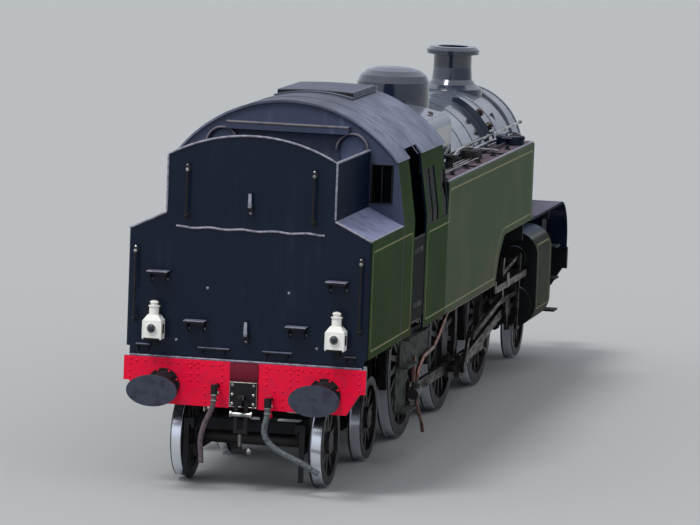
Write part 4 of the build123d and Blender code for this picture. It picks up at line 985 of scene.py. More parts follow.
piece_from(lens, "lamp_lenses", LENS_GLASS)

# %% [markdown]
# ## Buffer beams
# A red plate is riveted to the frame ends. Its rivets stand in groups where the angle irons lie behind it.
# The hook passes through a framed plate, and its screw link hangs down with a loose weighted bar.

# %% Beam rivets, hook plate and screw link
places = []
for end in (1, -1):
    x = end * BEAM_X
    for y in (-1.24, -0.58, -0.50, -0.24, 0.24, 0.50, 0.58, 1.24):
        for z in (1.12, 1.19, 1.26, 1.31):
            places.append(((x, y, z), (end, 0, 0)))
    for step in (*range(-13, -2), *range(3, 14)):
        places.append(((x, step * 0.09, 1.295), (end, 0, 0)))
    for y in (-0.42, -0.33, 0.33, 0.42):
        for z in (0.90, 0.98, 1.06):
            places.append(((x, y, z), (end, 0, 0)))
    for side in (1, -1):
        places += [((x + end * 0.025, *p[1:]), (end, 0, 0))
                   for p in ring_of((x, side * BUFFER_Y, BUFFER_Z), 0.160, 8, (1, 0, 0))]
heads("beam_rivets", places, 0.014, 0.010, RED_ENAMEL)

PLATE_BOLT = [(0, 0.018), (0.012, 0.018), (0.016, 0.012), (0.016, 0.0)]
SCREW_THREAD = [(0, 0.022), (0.005, 0.028), (0.010, 0.022)]
BAR_WEIGHT = [(-0.035, 0.0), (-0.030, 0.022), (0, 0.035), (0.030, 0.022), (0.035, 0.0)]
shape = bmesh.new()
red = bmesh.new()
for end in (1, -1):
    x = end * (BEAM_X + 0.020)
    plate_edge = [(x, -0.145, 0.870), (x, 0.145, 0.870), (x, 0.145, 1.130), (x, -0.145, 1.130)]
    tube(shape, plate_edge, 0.008, sides=8, closed=True)
    for y in (-0.115, 0.115):
        for z in (0.90, 1.00, 1.10):
            turned(shape, PLATE_BOLT, (x, y, z), (end, 0, 0), sides=6)
    pin_x = end * (BEAM_X + 0.090)
    turned(shape, [(-0.10, 0.026), (0.10, 0.026)], (pin_x, 0, 0.80), (0, 1, 0), sides=16)
    turned(shape, [(-0.12, 0.034), (-0.10, 0.034)], (pin_x, 0, 0.80), (0, 1, 0), sides=6)
    turned(shape, [(0.10, 0.034), (0.12, 0.034)], (pin_x, 0, 0.80), (0, 1, 0), sides=6)
    for step in range(9):
        turned(shape, SCREW_THREAD, (pin_x, 0, 0.462 + 0.014 * step), sides=14)
    turned(shape, BAR_WEIGHT, (pin_x, -0.10, 0.418), sides=16)
    block(red, (x - end * 0.022, -0.155, 1.165), (x - end * 0.010, 0.155, 1.325), 0.004)
piece_from(shape, "hook_plates_and_screw_links", BRIGHT_STEEL)
piece_from(red, "beam_doubling_plates", DARK_RED)

# %% [markdown]
# ## Buffer housings
# A buffer slides in a tapered casting, with a collar at its mouth, a ring near its foot and four fins behind it.
# Closed profiles turned about the buffer's axis give the rings without any inner faces.

# %% Collars and fins
MOUTH_COLLAR = [(0.295, 0.108), (0.300, 0.124), (0.322, 0.124), (0.328, 0.108)]
FOOT_RING = [(0.060, 0.130), (0.064, 0.144), (0.080, 0.144), (0.084, 0.130)]
shape = bmesh.new()
for end in (1, -1):
    for side in (1, -1):
        base = (end * BEAM_X, side * BUFFER_Y, BUFFER_Z)
        turned(shape, MOUTH_COLLAR, base, (end, 0, 0), sides=36, closed=True)
        turned(shape, FOOT_RING, base, (end, 0, 0), sides=36, closed=True)
        for angle in (0.25, 0.75, 1.25, 1.75):
            dy, dz = cos(pi * angle), sin(pi * angle)
            fin = [(end * (BEAM_X + 0.02), base[1] + 0.168 * dy, base[2] + 0.168 * dz),
                   (end * (BEAM_X + 0.02), base[1] + 0.115 * dy, base[2] + 0.115 * dz),
                   (end * (BEAM_X + 0.22), base[1] + 0.112 * dy, base[2] + 0.112 * dz)]
            prism(shape, fin, (0, -0.014 * dz, 0.014 * dy), 0.002)
piece_from(shape, "buffer_collars_and_fins", CAST_IRON)

# %% [markdown]
# ## Pipes on the beams
# Each hose screws on to an iron pipe that comes through the beam, and two bright clips hold its end.
# A bent pipe is a round bar along a line whose corners are rounded first.

# %% Clips and standing pipes
CLIP = [(0, 0.036), (0.004, 0.041), (0.016, 0.041), (0.020, 0.036)]
shape = bmesh.new()
vacuum = bmesh.new()
for end in (1, -1):
    x = end * (BEAM_X + 0.150)
    y = end * 0.300
    stand_x = end * (BEAM_X + 0.09)
    stand = [(end * (BEAM_X + 0.02), y, 0.80), (stand_x, y, 0.80), (stand_x, y, 1.02)]
    tube(vacuum, rounded(stand, 0.05), 0.026, sides=14)
    turned(vacuum, [(0, 0.036), (0.022, 0.036)], (stand_x, y, 1.0), sides=6)
    for route_y, z in ((end * 0.300, 0.905), (-end * 0.284, 1.010)):
        for drop in (0.0, 0.055):
            turned(shape, CLIP, (x, route_y, z - drop - 0.02), sides=20, closed=True)
        block(shape, (x - 0.012, route_y - 0.055, z + 0.005), (x + 0.012, route_y - 0.036, z + 0.030), 0.003)
    pipe_x = end * (BEAM_X - 0.07)
    pipe = [(pipe_x, end * 0.80, 0.84), (pipe_x, end * 0.46, 0.84), (pipe_x, end * 0.40, 0.90)]
    tube(shape, rounded(pipe, 0.05), 0.014, sides=10)
piece_from(shape, "hose_clips", BRIGHT_STEEL)
piece_from(vacuum, "brake_pipe_stands", RED_ENAMEL)

# %% [markdown]
# ## Cab
# The roof is sheets bent to one arch, with a seam at each joint and a sliding ventilator between two runners.
# On the back plate a straight rain strip and two curved ones keep water off the rear windows.
# The seams follow the roof's own arch, so one function gives points on an arch, and a thin bar runs along them.

# %% Roof seams, ventilator slots and rain strips
shape = bmesh.new()
for x in (CAB_BACK_X - 0.022, -4.05, -3.52, CAB_FRONT_X + 0.052):
    tube(shape, [(x, y, z + 0.001) for y, z in arch(1.222, 3.385, ROOF_TOP)], 0.006, sides=6)
for side in (1, -1):
    tube(shape, [(-3.42, side * 0.44, 3.936), (-2.15, side * 0.44, 3.936)], 0.008, sides=8)
piece_from(shape, "roof_seams_and_strips", ROOF)

shape = bmesh.new()
for x, low, high in ((-3.306, 3.962, 3.982), (-3.306, 3.978, 3.994), (-3.424, 3.926, 3.980)):
    tube(shape, [(x, y, z) for y, z in arch(0.425, low, high, 12)], 0.009, sides=6)
for x in (-2.95, -2.50):
    tube(shape, [(x, y, z) for y, z in arch(0.42, 3.989, 4.000, 12)], 0.006, sides=6)
piece_from(shape, "roof_ventilator_slots", CAST_IRON)

shape = bmesh.new()
tube(shape, [(CAB_BACK_X - 0.104, -0.675, 3.728), (CAB_BACK_X - 0.104, 0.675, 3.728)], 0.014, sides=8)
for side in (1, -1):
    turns = [pi * step / 16 for step in range(17)]
    hood = [(CAB_BACK_X - 0.078, side * 0.72 + 0.172 * cos(a), 3.492 + 0.172 * sin(a)) for a in turns]
    tube(shape, hood, 0.011, sides=6)
piece_from(shape, "cab_back_rain_strips", DRY_PAINT)

# %% [markdown]
# ## Window frames
# Every window sits in a thin frame, and the side panes have a bar where two sliding panes meet.
# The cab side leans in above its waist, so a frame that went straight from corner to corner would leave the sheet.
# Each edge is cut into six steps, and every point asks how far out the sheet is at its own height.

# %% Window frames and glazing bars
CAB_WAIST_Z = 2.70
EDGE_STEPS = 6
SIDE_WINDOWS = ((-3.213, -2.640, 3.19), (-2.381, -2.110, 3.10))
SILL_Z = 2.58
FRONT_WINDOW = (0.930, 1.120, 3.02, 3.33)
REAR_WINDOW = (0.935, 1.160, 2.93, 3.34)


def lean(z):
    """Distance of the cab side from the centreline at a height: it leans in above the waist."""
    return CAB_WAIST_HALF if z < CAB_WAIST_Z else CAB_WAIST_HALF - (z - CAB_WAIST_Z) / 0.675 * 0.10


shape = bmesh.new()
for side in (1, -1):
    for rear, front, top in SIDE_WINDOWS:
        ring = [(rear, SILL_Z), (front, SILL_Z), (front, top), (rear, top)]
        line = []
        for (xa, za), (xb, zb) in zip(ring, ring[1:] + ring[:1]):
            for t in range(EDGE_STEPS):
                z = za + (zb - za) * t / EDGE_STEPS
                line.append((xa + (xb - xa) * t / EDGE_STEPS, side * (lean(z) - 0.014), z))
        tube(shape, line, 0.012, sides=6, closed=True)
    middle = (SIDE_WINDOWS[0][0] + SIDE_WINDOWS[0][1]) / 2
    tube(shape, [(middle, side * (lean(z) - 0.012), z) for z in (2.59, 2.70, 2.9, 3.18)], 0.012, sides=6)
    for x, (inner, outer, sill, top) in ((CAB_FRONT_X + 0.004, FRONT_WINDOW), (CAB_BACK_X - 0.004, REAR_WINDOW)):
        ring = [(x, side * inner, sill), (x, side * outer, sill), (x, side * outer, top), (x, side * inner, top)]
        tube(shape, ring, 0.012, sides=6, closed=True)
    tube(shape, [(CAB_BACK_X - 0.006, side * 1.048, 2.93), (CAB_BACK_X - 0.006, side * 1.048, 3.34)], 0.008, sides=8)
piece_from(shape, "window_frames_and_bars", CAST_IRON)

# %% [markdown]
# ## Doorways and doors
# A handrail stands on each side of a doorway. Each half-height door has a top bar, two hinge straps and a knob,
# and these ride on the door's own body, so that they swing with it.

# %% Doorway handrails and door fittings
DOOR_KNOB = [(0, 0.010), (0.03, 0.010), (0.04, 0.018), (0.05, 0.0)]
shape = bmesh.new()
for side in (1, -1):
    for x in (-4.02, -3.26):
        line = [(x, side * 1.280, 1.62), (x, side * 1.296, 1.64), (x, side * 1.296, 2.40), (x, side * 1.280, 2.42)]
        tube(shape, rounded(line, 0.02), 0.012, sides=10)
piece_from(shape, "doorway_handrails", BRIGHT_STEEL)
for side, word in LEFT_AND_RIGHT:
    shape = bmesh.new()
    tube(shape, [(-3.955, side * 1.2925, 2.482), (-3.325, side * 1.2925, 2.482)], 0.0145, sides=10)
    for z in (1.745, 2.345):
        block(shape, (-3.94, side * 1.3050 - 0.004, z - 0.028), (-3.45, side * 1.3050 + 0.003, z + 0.028), 0.002)
    turned(shape, DOOR_KNOB, (-3.38, side * 1.28, 2.40), (0, -side, 0), sides=14)
    piece_from(shape, f"door_fittings_{word}", CAST_IRON, body=f"{word}_door")

# %% [markdown]
# ## Backhead
# Through the doorway the boiler's back end shows: fire doors, regulator, gauges and a web of copper pipes.
# It is dim in there, so simple turned and bent shapes in the right places are enough.

# %% Backhead fittings
BACKHEAD_X = -2.55
iron = bmesh.new()
copper = bmesh.new()
fire_hole = [(0, 0.26), (0.04, 0.26), (0.05, 0.22), (0.05, 0.20), (0.01, 0.19)]
turned(iron, fire_hole, (BACKHEAD_X, 0, 2.05), (-1, 0, 0), sides=36, closed=True)
for side in (1, -1):
    fire_door = [(BACKHEAD_X - 0.03, side * y, z)
                 for y, z in ((0.005, 1.88), (0.19, 1.90), (0.21, 2.05), (0.19, 2.20), (0.005, 2.22))]
    prism(iron, fire_door, (-0.025, 0, 0), 0.006)
    door_handle = [(BACKHEAD_X - out, side * 0.05, z) for out, z in ((0.06, 2.0), (0.11, 2.03), (0.11, 2.12))]
    tube(iron, door_handle, 0.01, sides=8)
    turned(iron, [(0, 0.09), (0.05, 0.09), (0.06, 0.08)], (BACKHEAD_X, side * 0.42, 3.18), (-1, 0, 0), sides=28)
    gauge_pipe = [(BACKHEAD_X - out, side * y, z)
                  for out, y, z in ((0.02, 0.42, 3.10), (0.05, 0.42, 2.9), (0.05, 0.62, 2.6), (0.05, 0.62, 1.85))]
    tube(copper, rounded(gauge_pipe, 0.08), 0.014, sides=10)
    tube(copper, [(BACKHEAD_X - 0.06, side * 0.22, 2.62), (BACKHEAD_X - 0.06, side * 0.22, 2.98)], 0.016, sides=12)
    for z in (2.62, 2.98):
        turned(copper, [(-0.03, 0.02), (0.09, 0.03)], (BACKHEAD_X - 0.02, side * 0.22, z), (-1, 0, 0), sides=14)
regulator = [(BACKHEAD_X - out, y, z)
             for out, y, z in ((0.10, 0.02, 3.02), (0.14, 0.22, 3.10), (0.14, 0.50, 3.06), (0.20, 0.62, 2.95))]
tube(iron, rounded(regulator, 0.08), 0.018, sides=10)
turned(iron, [(0, 0.06), (0.08, 0.05), (0.12, 0.03)], (BACKHEAD_X, 0, 3.02), (-1, 0, 0), sides=24)
reverser = (-2.75, 0.95, 2.25)
wheel_ring = ring_of(reverser, 0.13, 24, (1, 0.2, 0))
tube(iron, wheel_ring, 0.011, sides=8, closed=True)
for point in wheel_ring[::8]:
    tube(iron, [reverser, point], 0.008, sides=6)
tube(iron, [reverser, (-2.72, 0.95, 1.80)], 0.02, sides=10)
piece_from(iron, "backhead_fittings", CAST_IRON)
piece_from(copper, "backhead_pipes", COPPER)
places = [((BACKHEAD_X, y, z), (-1, 0, 0))
          for z in (2.35, 2.55, 2.75) for y in (-0.75, -0.55, -0.35, 0.35, 0.55, 0.75)]
heads("backhead_stays", places, 0.018, 0.010, BRASS)

# %% [markdown]
# ## Tank tops
# A crew walks on the tanks, so the tops are rusty and cluttered: beading, lifting eyes, vents and pipes.
# Seen from a distance they are a broken dark line along the tank, and many small different shapes make that line.
# Every fitting is drawn once and set on both sides by changing the sign of its distance from the centreline.

# %% Tank-top fittings
VENT = [(0, 0.06), (0.02, 0.06), (0.03, 0.045), (0.14, 0.045), (0.15, 0.07), (0.175, 0.07), (0.19, 0.0)]
TANK_BOLT = [(0, 0.040), (0.012, 0.040), (0.016, 0.026), (0.050, 0.024), (0.054, 0.0)]
shape = bmesh.new()
rust = bmesh.new()
bright = bmesh.new()


def bent_bar(where, side, points, reach, radius, sides=10):
    """A bent bar on a tank top, through points given as station, distance out and height above the sheet."""
    line = [(x, side * out, TANK_TOP + up) for x, out, up in points]
    tube(where, rounded(line, reach), radius, sides=sides)


for side in (1, -1):
    bent_bar(shape, side, ((CAB_FRONT_X + 0.01, 1.288, 0.002), (TANK_FRONT_X - 0.012, 1.288, 0.002),
                           (TANK_FRONT_X - 0.012, 0.912, 0.002)), 0.05, 0.012, 8)
    for x in (-1.6, 0.1, 1.9):
        bent_bar(rust, side, ((x - 0.05, 0.98, 0.0), (x - 0.04, 0.98, 0.07), (x + 0.04, 0.98, 0.07),
                              (x + 0.05, 0.98, 0.0)), 0.04, 0.013, 8)
        block(rust, (x - 0.09, side * 0.98 - 0.035, TANK_TOP - 0.002),
              (x + 0.09, side * 0.98 + 0.035, TANK_TOP + 0.012), 0.003)
    block(rust, (0.55, side * 1.02 - 0.10, TANK_TOP - 0.002), (0.95, side * 1.02 + 0.10, TANK_TOP + 0.115), 0.012)
    turned(rust, VENT, (-0.75, side * 1.05, TANK_TOP), sides=24)
    bent_bar(rust, side, ((-2.05, 0.95, 0.03), (1.2, 0.95, 0.03), (1.8, 1.08, 0.03), (2.62, 1.08, 0.03)), 0.2, 0.018)
    bent_bar(bright, side, ((0.05, 0.93, 0.05), (0.5, 0.93, 0.16), (1.5, 1.20, 0.05)), 0.2, 0.014)
    bent_bar(bright, side, ((3.30, 1.15, 0.0), (3.30, 1.15, 0.10), (3.05, 1.12, 0.13), (2.95, 1.06, 0.10)),
             0.08, 0.014)
    for x in (-1.95, -0.2, 1.55):
        block(rust, (x - 0.02, side * 1.10 - 0.17, TANK_TOP - 0.002),
              (x + 0.02, side * 1.10 + 0.17, TANK_TOP + 0.018), 0.003)
for side in (1, -1):
    for x in (-1.78, -1.28, -0.42, 0.32, 1.28, 2.22):
        turned(rust, TANK_BOLT, (x, side * 1.19, TANK_TOP - 0.001), sides=16)
    for step in range(3):
        fire_iron = [(-1.9 + 0.06 * step, side * (1.03 + 0.045 * step), TANK_TOP + 0.028),
                     (0.45 + 0.1 * step, side * (1.01 + 0.055 * step), TANK_TOP + 0.028)]
        tube(bright, fire_iron, 0.009, sides=8)
    bent_bar(rust, side, ((1.9, 0.94, 0.02), (2.3, 0.94, 0.06), (2.6, 0.96, 0.06), (3.3, 0.96, 0.02)), 0.1, 0.016, 8)
piece_from(shape, "tank_top_beading", WORN)
piece_from(rust, "tank_top_fittings", CAST_IRON)
piece_from(bright, "tank_top_rails", BRIGHT_STEEL)
places = [((-1.95 + 0.12 * step, side * y, TANK_TOP), (0, 0, 1))
          for side in (1, -1) for y in (0.925, 1.262) for step in range(45)]
heads("tank_top_rivets", places, 0.010, 0.006, CAST_IRON, sides=8)
LID_RIM = [(0, 0.168), (0.008, 0.168), (0.012, 0.150), (0.004, 0.146)]
for side, word in LEFT_AND_RIGHT:
    shape = bmesh.new()
    y = side * 1.10
    grip = [(2.98, y + across, TANK_TOP + up)
            for across, up in ((-0.07, 0.10), (-0.06, 0.135), (0.06, 0.135), (0.07, 0.10))]
    tube(shape, rounded(grip, 0.03), 0.008, sides=8)
    turned(shape, LID_RIM, (2.90, y, TANK_TOP + 0.098), sides=36, closed=True)
    piece_from(shape, f"lid_fittings_{word}", CAST_IRON, body=f"{word}_lid")

# %% [markdown]
# ## Boiler
# Thin bands hold the cladding sheets, a handrail runs along each side, and pipes lie where a fitter put them.
# The barrel tapers towards the chimney, so one function gives its radius at any station,
# and every band, handrail foot and plug is set out from it.

# %% Boiler bands
def barrel_radius(x):
    """Radius of the tapered barrel at a station."""
    return 0.87 - 0.07 * min(1.0, (x - 0.25) / 2.15)


bands = [(x, barrel_radius(x), 0.006) for x in (0.29, 1.62, 2.42, 3.18, 3.42, 3.98)]
bands += [(x, SMOKEBOX_R, 0.008) for x in (4.05, 5.44)]
shape = bmesh.new()
for x, r, rise in bands:
    band = [(-0.030, r - 0.002), (-0.028, r + rise), (0.028, r + rise), (0.030, r - 0.002)]
    turned(shape, band, (x, 0, BOILER_Z), (1, 0, 0), sides=72, closed=True)
piece_from(shape, "boiler_bands", CLADDING)

# %% Handrails and pipes along the boiler
RAIL_ANGLE = radians(24)  # above the boiler's middle
RAIL_REACH = 0.865  # from the boiler's middle
FEED_PIPE = ((-2.0, 0.93, 3.02), (-0.4, 0.93, 3.02), (2.9, 0.885, 2.98), (3.22, 0.86, 2.96), (3.30, 0.80, 3.05))
OIL_PIPE = ((4.3, 0.60, 3.20), (4.3, 0.82, 2.72), (4.3, 0.86, 2.40), (4.3, 0.80, 2.02))
STEAM_PIPE = ((4.9, 0.30, 3.42), (4.9, 0.62, 3.20), (4.9, 0.84, 2.70), (4.9, 0.80, 2.05))
shape = bmesh.new()
bright = bmesh.new()
for side in (1, -1):
    y, z = side * RAIL_REACH * cos(RAIL_ANGLE), BOILER_Z + RAIL_REACH * sin(RAIL_ANGLE)
    tube(bright, [(0.6, y, z), (5.35, y, z)], 0.016, sides=10)
    for x in (0.75, 1.9, 3.05, 4.2, 5.3):
        r = SMOKEBOX_R if x > 4.02 else barrel_radius(x)
        foot = (x, side * (r - 0.01) * cos(RAIL_ANGLE), BOILER_Z + (r - 0.01) * sin(RAIL_ANGLE))
        tube(bright, [foot, (x, y, z)], 0.012, sides=8)
        turned(bright, [(-0.022, 0.018), (0, 0.026), (0.022, 0.018)], (x, y, z), (1, 0, 0), sides=14)
    for route, reach, radius, sides in ((FEED_PIPE, 0.15, 0.024, 12), (OIL_PIPE, 0.12, 0.016, 10),
                                        (STEAM_PIPE, 0.2, 0.030, 12)):
        tube(shape, rounded([(x, side * y, z) for x, y, z in route], reach), radius, sides=sides)
piece_from(bright, "boiler_handrails", BRIGHT_STEEL)
piece_from(shape, "boiler_pipes", CLADDING)

# %% Valve caps, wash-out plugs and whistle
VALVE_CAP = [(0, 0.060), (0.006, 0.060), (0.012, 0.040), (0.016, 0.0)]
FLANGED_PLUG = [(0, 0.05), (0.03, 0.05), (0.035, 0.03), (0.05, 0.03), (0.055, 0)]
WHISTLE = [(0, 0.020), (0.05, 0.020), (0.055, 0.034), (0.16, 0.034), (0.17, 0.020), (0.18, 0.0)]
WASH_OUT_PLUG = [(0, 0.034), (0.014, 0.034), (0.02, 0.02), (0.022, 0)]
shape = bmesh.new()
for x in (-0.35, -0.60):
    turned(shape, VALVE_CAP, (x, 0, 3.839), sides=24)
for side in (1, -1):
    for z in (3.12, 3.28):
        reach = sqrt(0.878 ** 2 - (z - BOILER_Z) ** 2)
        outward = (0, side * reach, z - BOILER_Z)
        turned(shape, FLANGED_PLUG, (3.30, side * (reach - 0.005), z), outward, sides=18)
turned(shape, WHISTLE, (-1.25, 0.10, 3.615), sides=20)
for side in (1, -1):
    for x in (-1.9, -1.4, -0.9, -0.2):
        turned(shape, WASH_OUT_PLUG, (x, side * 0.70, 3.545), (0, side * 0.35, 1), sides=16)
piece_from(shape, "boiler_plugs_and_whistle", AGED_BRASS)

# %% [markdown]
# ## Smokebox
# A ring of rivets holds the smokebox front, and two rows more go over the top of its barrel.
# The round door hangs on two long straps, a rim and lugs press it tight, and two handles on one spindle lock it.
# All that belongs to the door rides on the door's body, so it swings away with it.

# %% Rivets, and the fittings of the smokebox door
DOOR_X = 5.50
DOOR_RIM = [(0, 0.655), (0.012, 0.668), (0.024, 0.655), (0.012, 0.640)]
SPINDLE = [(0.105, 0.075), (0.13, 0.075), (0.14, 0.055), (0.17, 0.050), (0.18, 0.03), (0.182, 0)]
HANDLE_TIP = [(-0.02, 0.012), (0, 0.02), (0.02, 0.012)]
HANDLE_REACH = 0.24
HANDLE_ANGLES = (35, 160)
LUG_REACH = 0.655
LUG_HALF = 0.03
LUGS = 12

places = [(p, (1, 0, 0)) for p in ring_of((DOOR_X, 0, BOILER_Z), 0.745, 44, (1, 0, 0))]
for x in (4.13, 5.37):
    for step in range(25):
        a = radians(-30 + 10 * step)
        places.append(((x, SMOKEBOX_R * cos(a), BOILER_Z + SMOKEBOX_R * sin(a)), (0, cos(a), sin(a))))
heads("smokebox_rivets", places, 0.012, 0.008, CLADDING)

door = bmesh.new()
turned(door, DOOR_RIM, (5.502, 0, BOILER_Z), (1, 0, 0), sides=64, closed=True)
turned(door, SPINDLE, (DOOR_X, 0, BOILER_Z), (1, 0, 0), sides=28)
for angle in HANDLE_ANGLES:
    a = radians(angle)
    tip = (5.668, HANDLE_REACH * sin(a), BOILER_Z + HANDLE_REACH * cos(a))
    tube(door, [(5.664, 0, BOILER_Z), tip], 0.014, sides=10)
    turned(door, HANDLE_TIP, tip, (0, sin(a), cos(a)), sides=12)
for step in range(LUGS):
    a = 2 * pi * step / LUGS
    if abs(sin(a) - 1) > 0.2:
        y, z = LUG_REACH * sin(a), BOILER_Z + LUG_REACH * cos(a)
        block(door, (5.505, y - LUG_HALF, z - LUG_HALF), (5.550, y + LUG_HALF, z + LUG_HALF), 0.006)
for z in (2.42, 2.92):
    strap = [(5.560, 0.735, z - 0.036), (5.560, 0.10, z - 0.022), (5.560, 0.10, z + 0.022), (5.560, 0.735, z + 0.036)]
    prism(door, strap, (0.012, 0, 0), 0.003)
door_rail = [(5.58, -0.45, 3.02), (5.62, -0.42, 3.06), (5.62, 0.42, 3.06), (5.58, 0.45, 3.02)]
tube(door, rounded(door_rail, 0.05), 0.013, sides=10)
piece_from(door, "smokebox_door_fittings", CAST_IRON, body="front_door")

# %% Front lamp irons and grab rails
shape = bmesh.new()
for x, y, z in ((5.52, 0, 3.47), (6.25, 0.95, 1.43), (6.25, -0.95, 1.43), (6.25, 0, 1.43)):
    iron = [(x, y - 0.022, z - 0.07), (x, y + 0.022, z - 0.07), (x, y + 0.018, z + 0.09), (x, y - 0.018, z + 0.09)]
    prism(shape, iron, (0.012, 0, 0), 0.003)
    block(shape, (x - 0.03, y - 0.024, z - 0.085), (x + 0.012, y + 0.024, z - 0.070), 0.003)
for side in (1, -1):
    grab_rail = [(x, side * 0.55, z) for x, z in ((6.0, 1.80), (6.0, 2.05), (5.75, 2.10), (5.62, 2.01))]
    tube(shape, rounded(grab_rail, 0.08), 0.014, sides=10)
piece_from(shape, "front_lamp_irons_and_grips", CAST_IRON)

# %% [markdown]
# ## Where chimney and dome meet the boiler
# A round casting on a round barrel meets it along a saddle-shaped line, which no flat ring follows.
# Each point of the ring takes its height from the barrel below it, and a thin bar through them makes the joint.

# %% Chimney lip and saddle rings
CHIMNEY_X = 4.72
CHIMNEY_LIP = [(3.915, 0.322), (3.920, 0.334), (3.938, 0.334), (3.944, 0.322)]
DOME_X = 1.0


def saddle_ring(shape, middle, reach, steps, barrel):
    """A thin ring that lies on the boiler round a casting, with the boiler's radius given by a function."""
    points = []
    for step in range(steps):
        a = 2 * pi * step / steps
        x, y = middle + reach * cos(a), reach * sin(a)
        points.append((x, y, BOILER_Z + sqrt(barrel(x) ** 2 - y * y) + 0.004))
    tube(shape, points, 0.012, sides=8, closed=True)


shape = bmesh.new()
turned(shape, CHIMNEY_LIP, (CHIMNEY_X, 0, 0), sides=56, closed=True)
saddle_ring(shape, CHIMNEY_X, 0.372, 48, lambda x: SMOKEBOX_R)
saddle_ring(shape, DOME_X, 0.440, 56, barrel_radius)
piece_from(shape, "chimney_and_dome_rings", CLADDING)

# %% [markdown]
# ## Springs and sand pipes
# A leaf spring is a stack of steel strips, each shorter than the one above, held by a buckle in the middle.
# Each leaf could be bent with a modifier, but a short loop lays them all on one shallow curve,
# and the same curve serves all six springs.

# %% Springs below the frames, and sand pipes
SPRING_HALF = 0.46
SPRING_SAG = 0.060
SPRING_Y = 0.588  # inner edge of the leaves, below the frame plate
SPRING_WIDTH = 0.062
LEAF = 0.013
LEAVES = 8
LEAF_STEP = 0.052  # how much shorter each leaf is at either end
HANGER_REACH = 0.440
SAND_ROUTE = ((3.80, 0.650, 1.05), (3.80, 0.752, 0.98), (3.80, 0.752, 0.70), (3.54, 0.752, 0.16))
HEX_NUT = [(0, 0.026), (0.024, 0.026)]
springs = bmesh.new()
pipes = bmesh.new()


def sideways_block(shape, x, half, side, inner, outer, low, high, edge):
    """A block across the engine, from one distance off the centreline to another, on either side."""
    near, far = sorted((side * inner, side * outer))
    block(shape, (x - half, near, low), (x + half, far, high), edge)


for x in COUPLED_X:
    for side in (1, -1):
        y = side * SPRING_Y
        for leaf in range(LEAVES):
            reach = SPRING_HALF - LEAF_STEP * leaf
            stations = [reach * (step / 5 - 1) for step in range(11)]
            upper = [(x + s, y, 0.460 - LEAF * leaf + SPRING_SAG * (s / SPRING_HALF) ** 2) for s in stations]
            lower = [(px, py, pz - LEAF + 0.002) for px, py, pz in reversed(upper)]
            prism(springs, upper + lower, (0, side * SPRING_WIDTH, 0))
        sideways_block(springs, x, 0.055, side, SPRING_Y, SPRING_Y + 0.066, 0.335, 0.475, 0.006)
        sideways_block(springs, x, 0.028, side, SPRING_Y + 0.01, SPRING_Y + 0.056, 0.47, 0.565, 0.004)
        for end in (-1, 1):
            hanger = (x + end * HANGER_REACH, y + side * 0.033)
            tube(springs, [(*hanger, 0.47), (*hanger, 0.57)], 0.014, sides=8)
            turned(springs, [(0, 0.026), (0.022, 0.026)], (*hanger, 0.462), sides=6)
for side in (1, -1):
    sand = [(x, side * y, z) for x, y, z in SAND_ROUTE]
    tube(pipes, rounded(sand, 0.10), 0.016, sides=10)
    turned(pipes, HEX_NUT, (3.80, side * 0.752, 0.74), sides=6)
piece_from(springs, "coupled_axle_springs", FRAME_IRON)
piece_from(pipes, "sand_pipes", COPPER)

# %% [markdown]
# ## Fittings of the rods
# Each bearing of a coupling rod has a small oil cup on top, and a turned cap holds the rod on its pin.
# The cups ride on the rod and the caps on the wheels, so at every pose they stay where a fitter would find them.

# %% Oil cups and crank-pin caps
CRANK_THROW = 0.3556
OIL_CUP = [(-0.004, 0.020), (0.010, 0.020), (0.012, 0.014), (0.028, 0.014), (0.032, 0.0)]
PIN_CAP = [(-0.002, 0.050), (0.004, 0.050), (0.006, 0.038), (0.016, 0.036), (0.018, 0.0)]
BOSS_TOPS = (0.112, 0.130, 0.112)  # height of each rod boss above its pin
CRANKS = ((1, "left", CRANK_THROW, 0), (-1, "right", 0, -CRANK_THROW))
for side, word, dx, dz in CRANKS:
    cups = bmesh.new()
    for x, boss in zip(COUPLED_X, BOSS_TOPS):
        turned(cups, OIL_CUP, (x + dx, side * 0.885, COUPLED_R + dz + boss), sides=14)
    piece_from(cups, f"coupling_rod_oil_cups_{word}", AGED_BRASS, body=f"{word}_coupling_rod")
nuts = bmesh.new()
for side, word, dx, dz in CRANKS:
    turned(nuts, PIN_CAP, (COUPLED_X[2] + dx, side * 0.935, COUPLED_R + dz), (0, side, 0), sides=24)
piece_from(nuts, "trailing_crank_pin_caps", BRIGHT_STEEL, body="trailing_wheels")

# %% [markdown]
# ## Hoses
# A brake hose is rubber wound on canvas. It hangs by its own weight, so its line is one smooth curve.
# A row of short tubes would look like bent wire. A NURBS spline with a few control points rounds every corner
# by itself, and it ends exactly at the pipe on the beam.

# %% Free hoses at each end
HOSE_X = BEAM_X + 0.150
BRAKE_HOSE_R = 0.032
HEATING_HOSE_R = 0.028
BRAKE_ROUTE = [
    (-0.300, 0.905), (-0.300, 0.800), (-0.268, 0.700), (-0.275, 0.590), (-0.350, 0.500), (-0.465, 0.430),
    (-0.600, 0.375), (-0.735, 0.315), (-0.870, 0.235),
]
HEATING_ROUTE = [
    (0.284, 1.010), (0.284, 0.905), (0.325, 0.800), (0.372, 0.700), (0.405, 0.590), (0.418, 0.480),
    (0.404, 0.375), (0.400, 0.270),
]


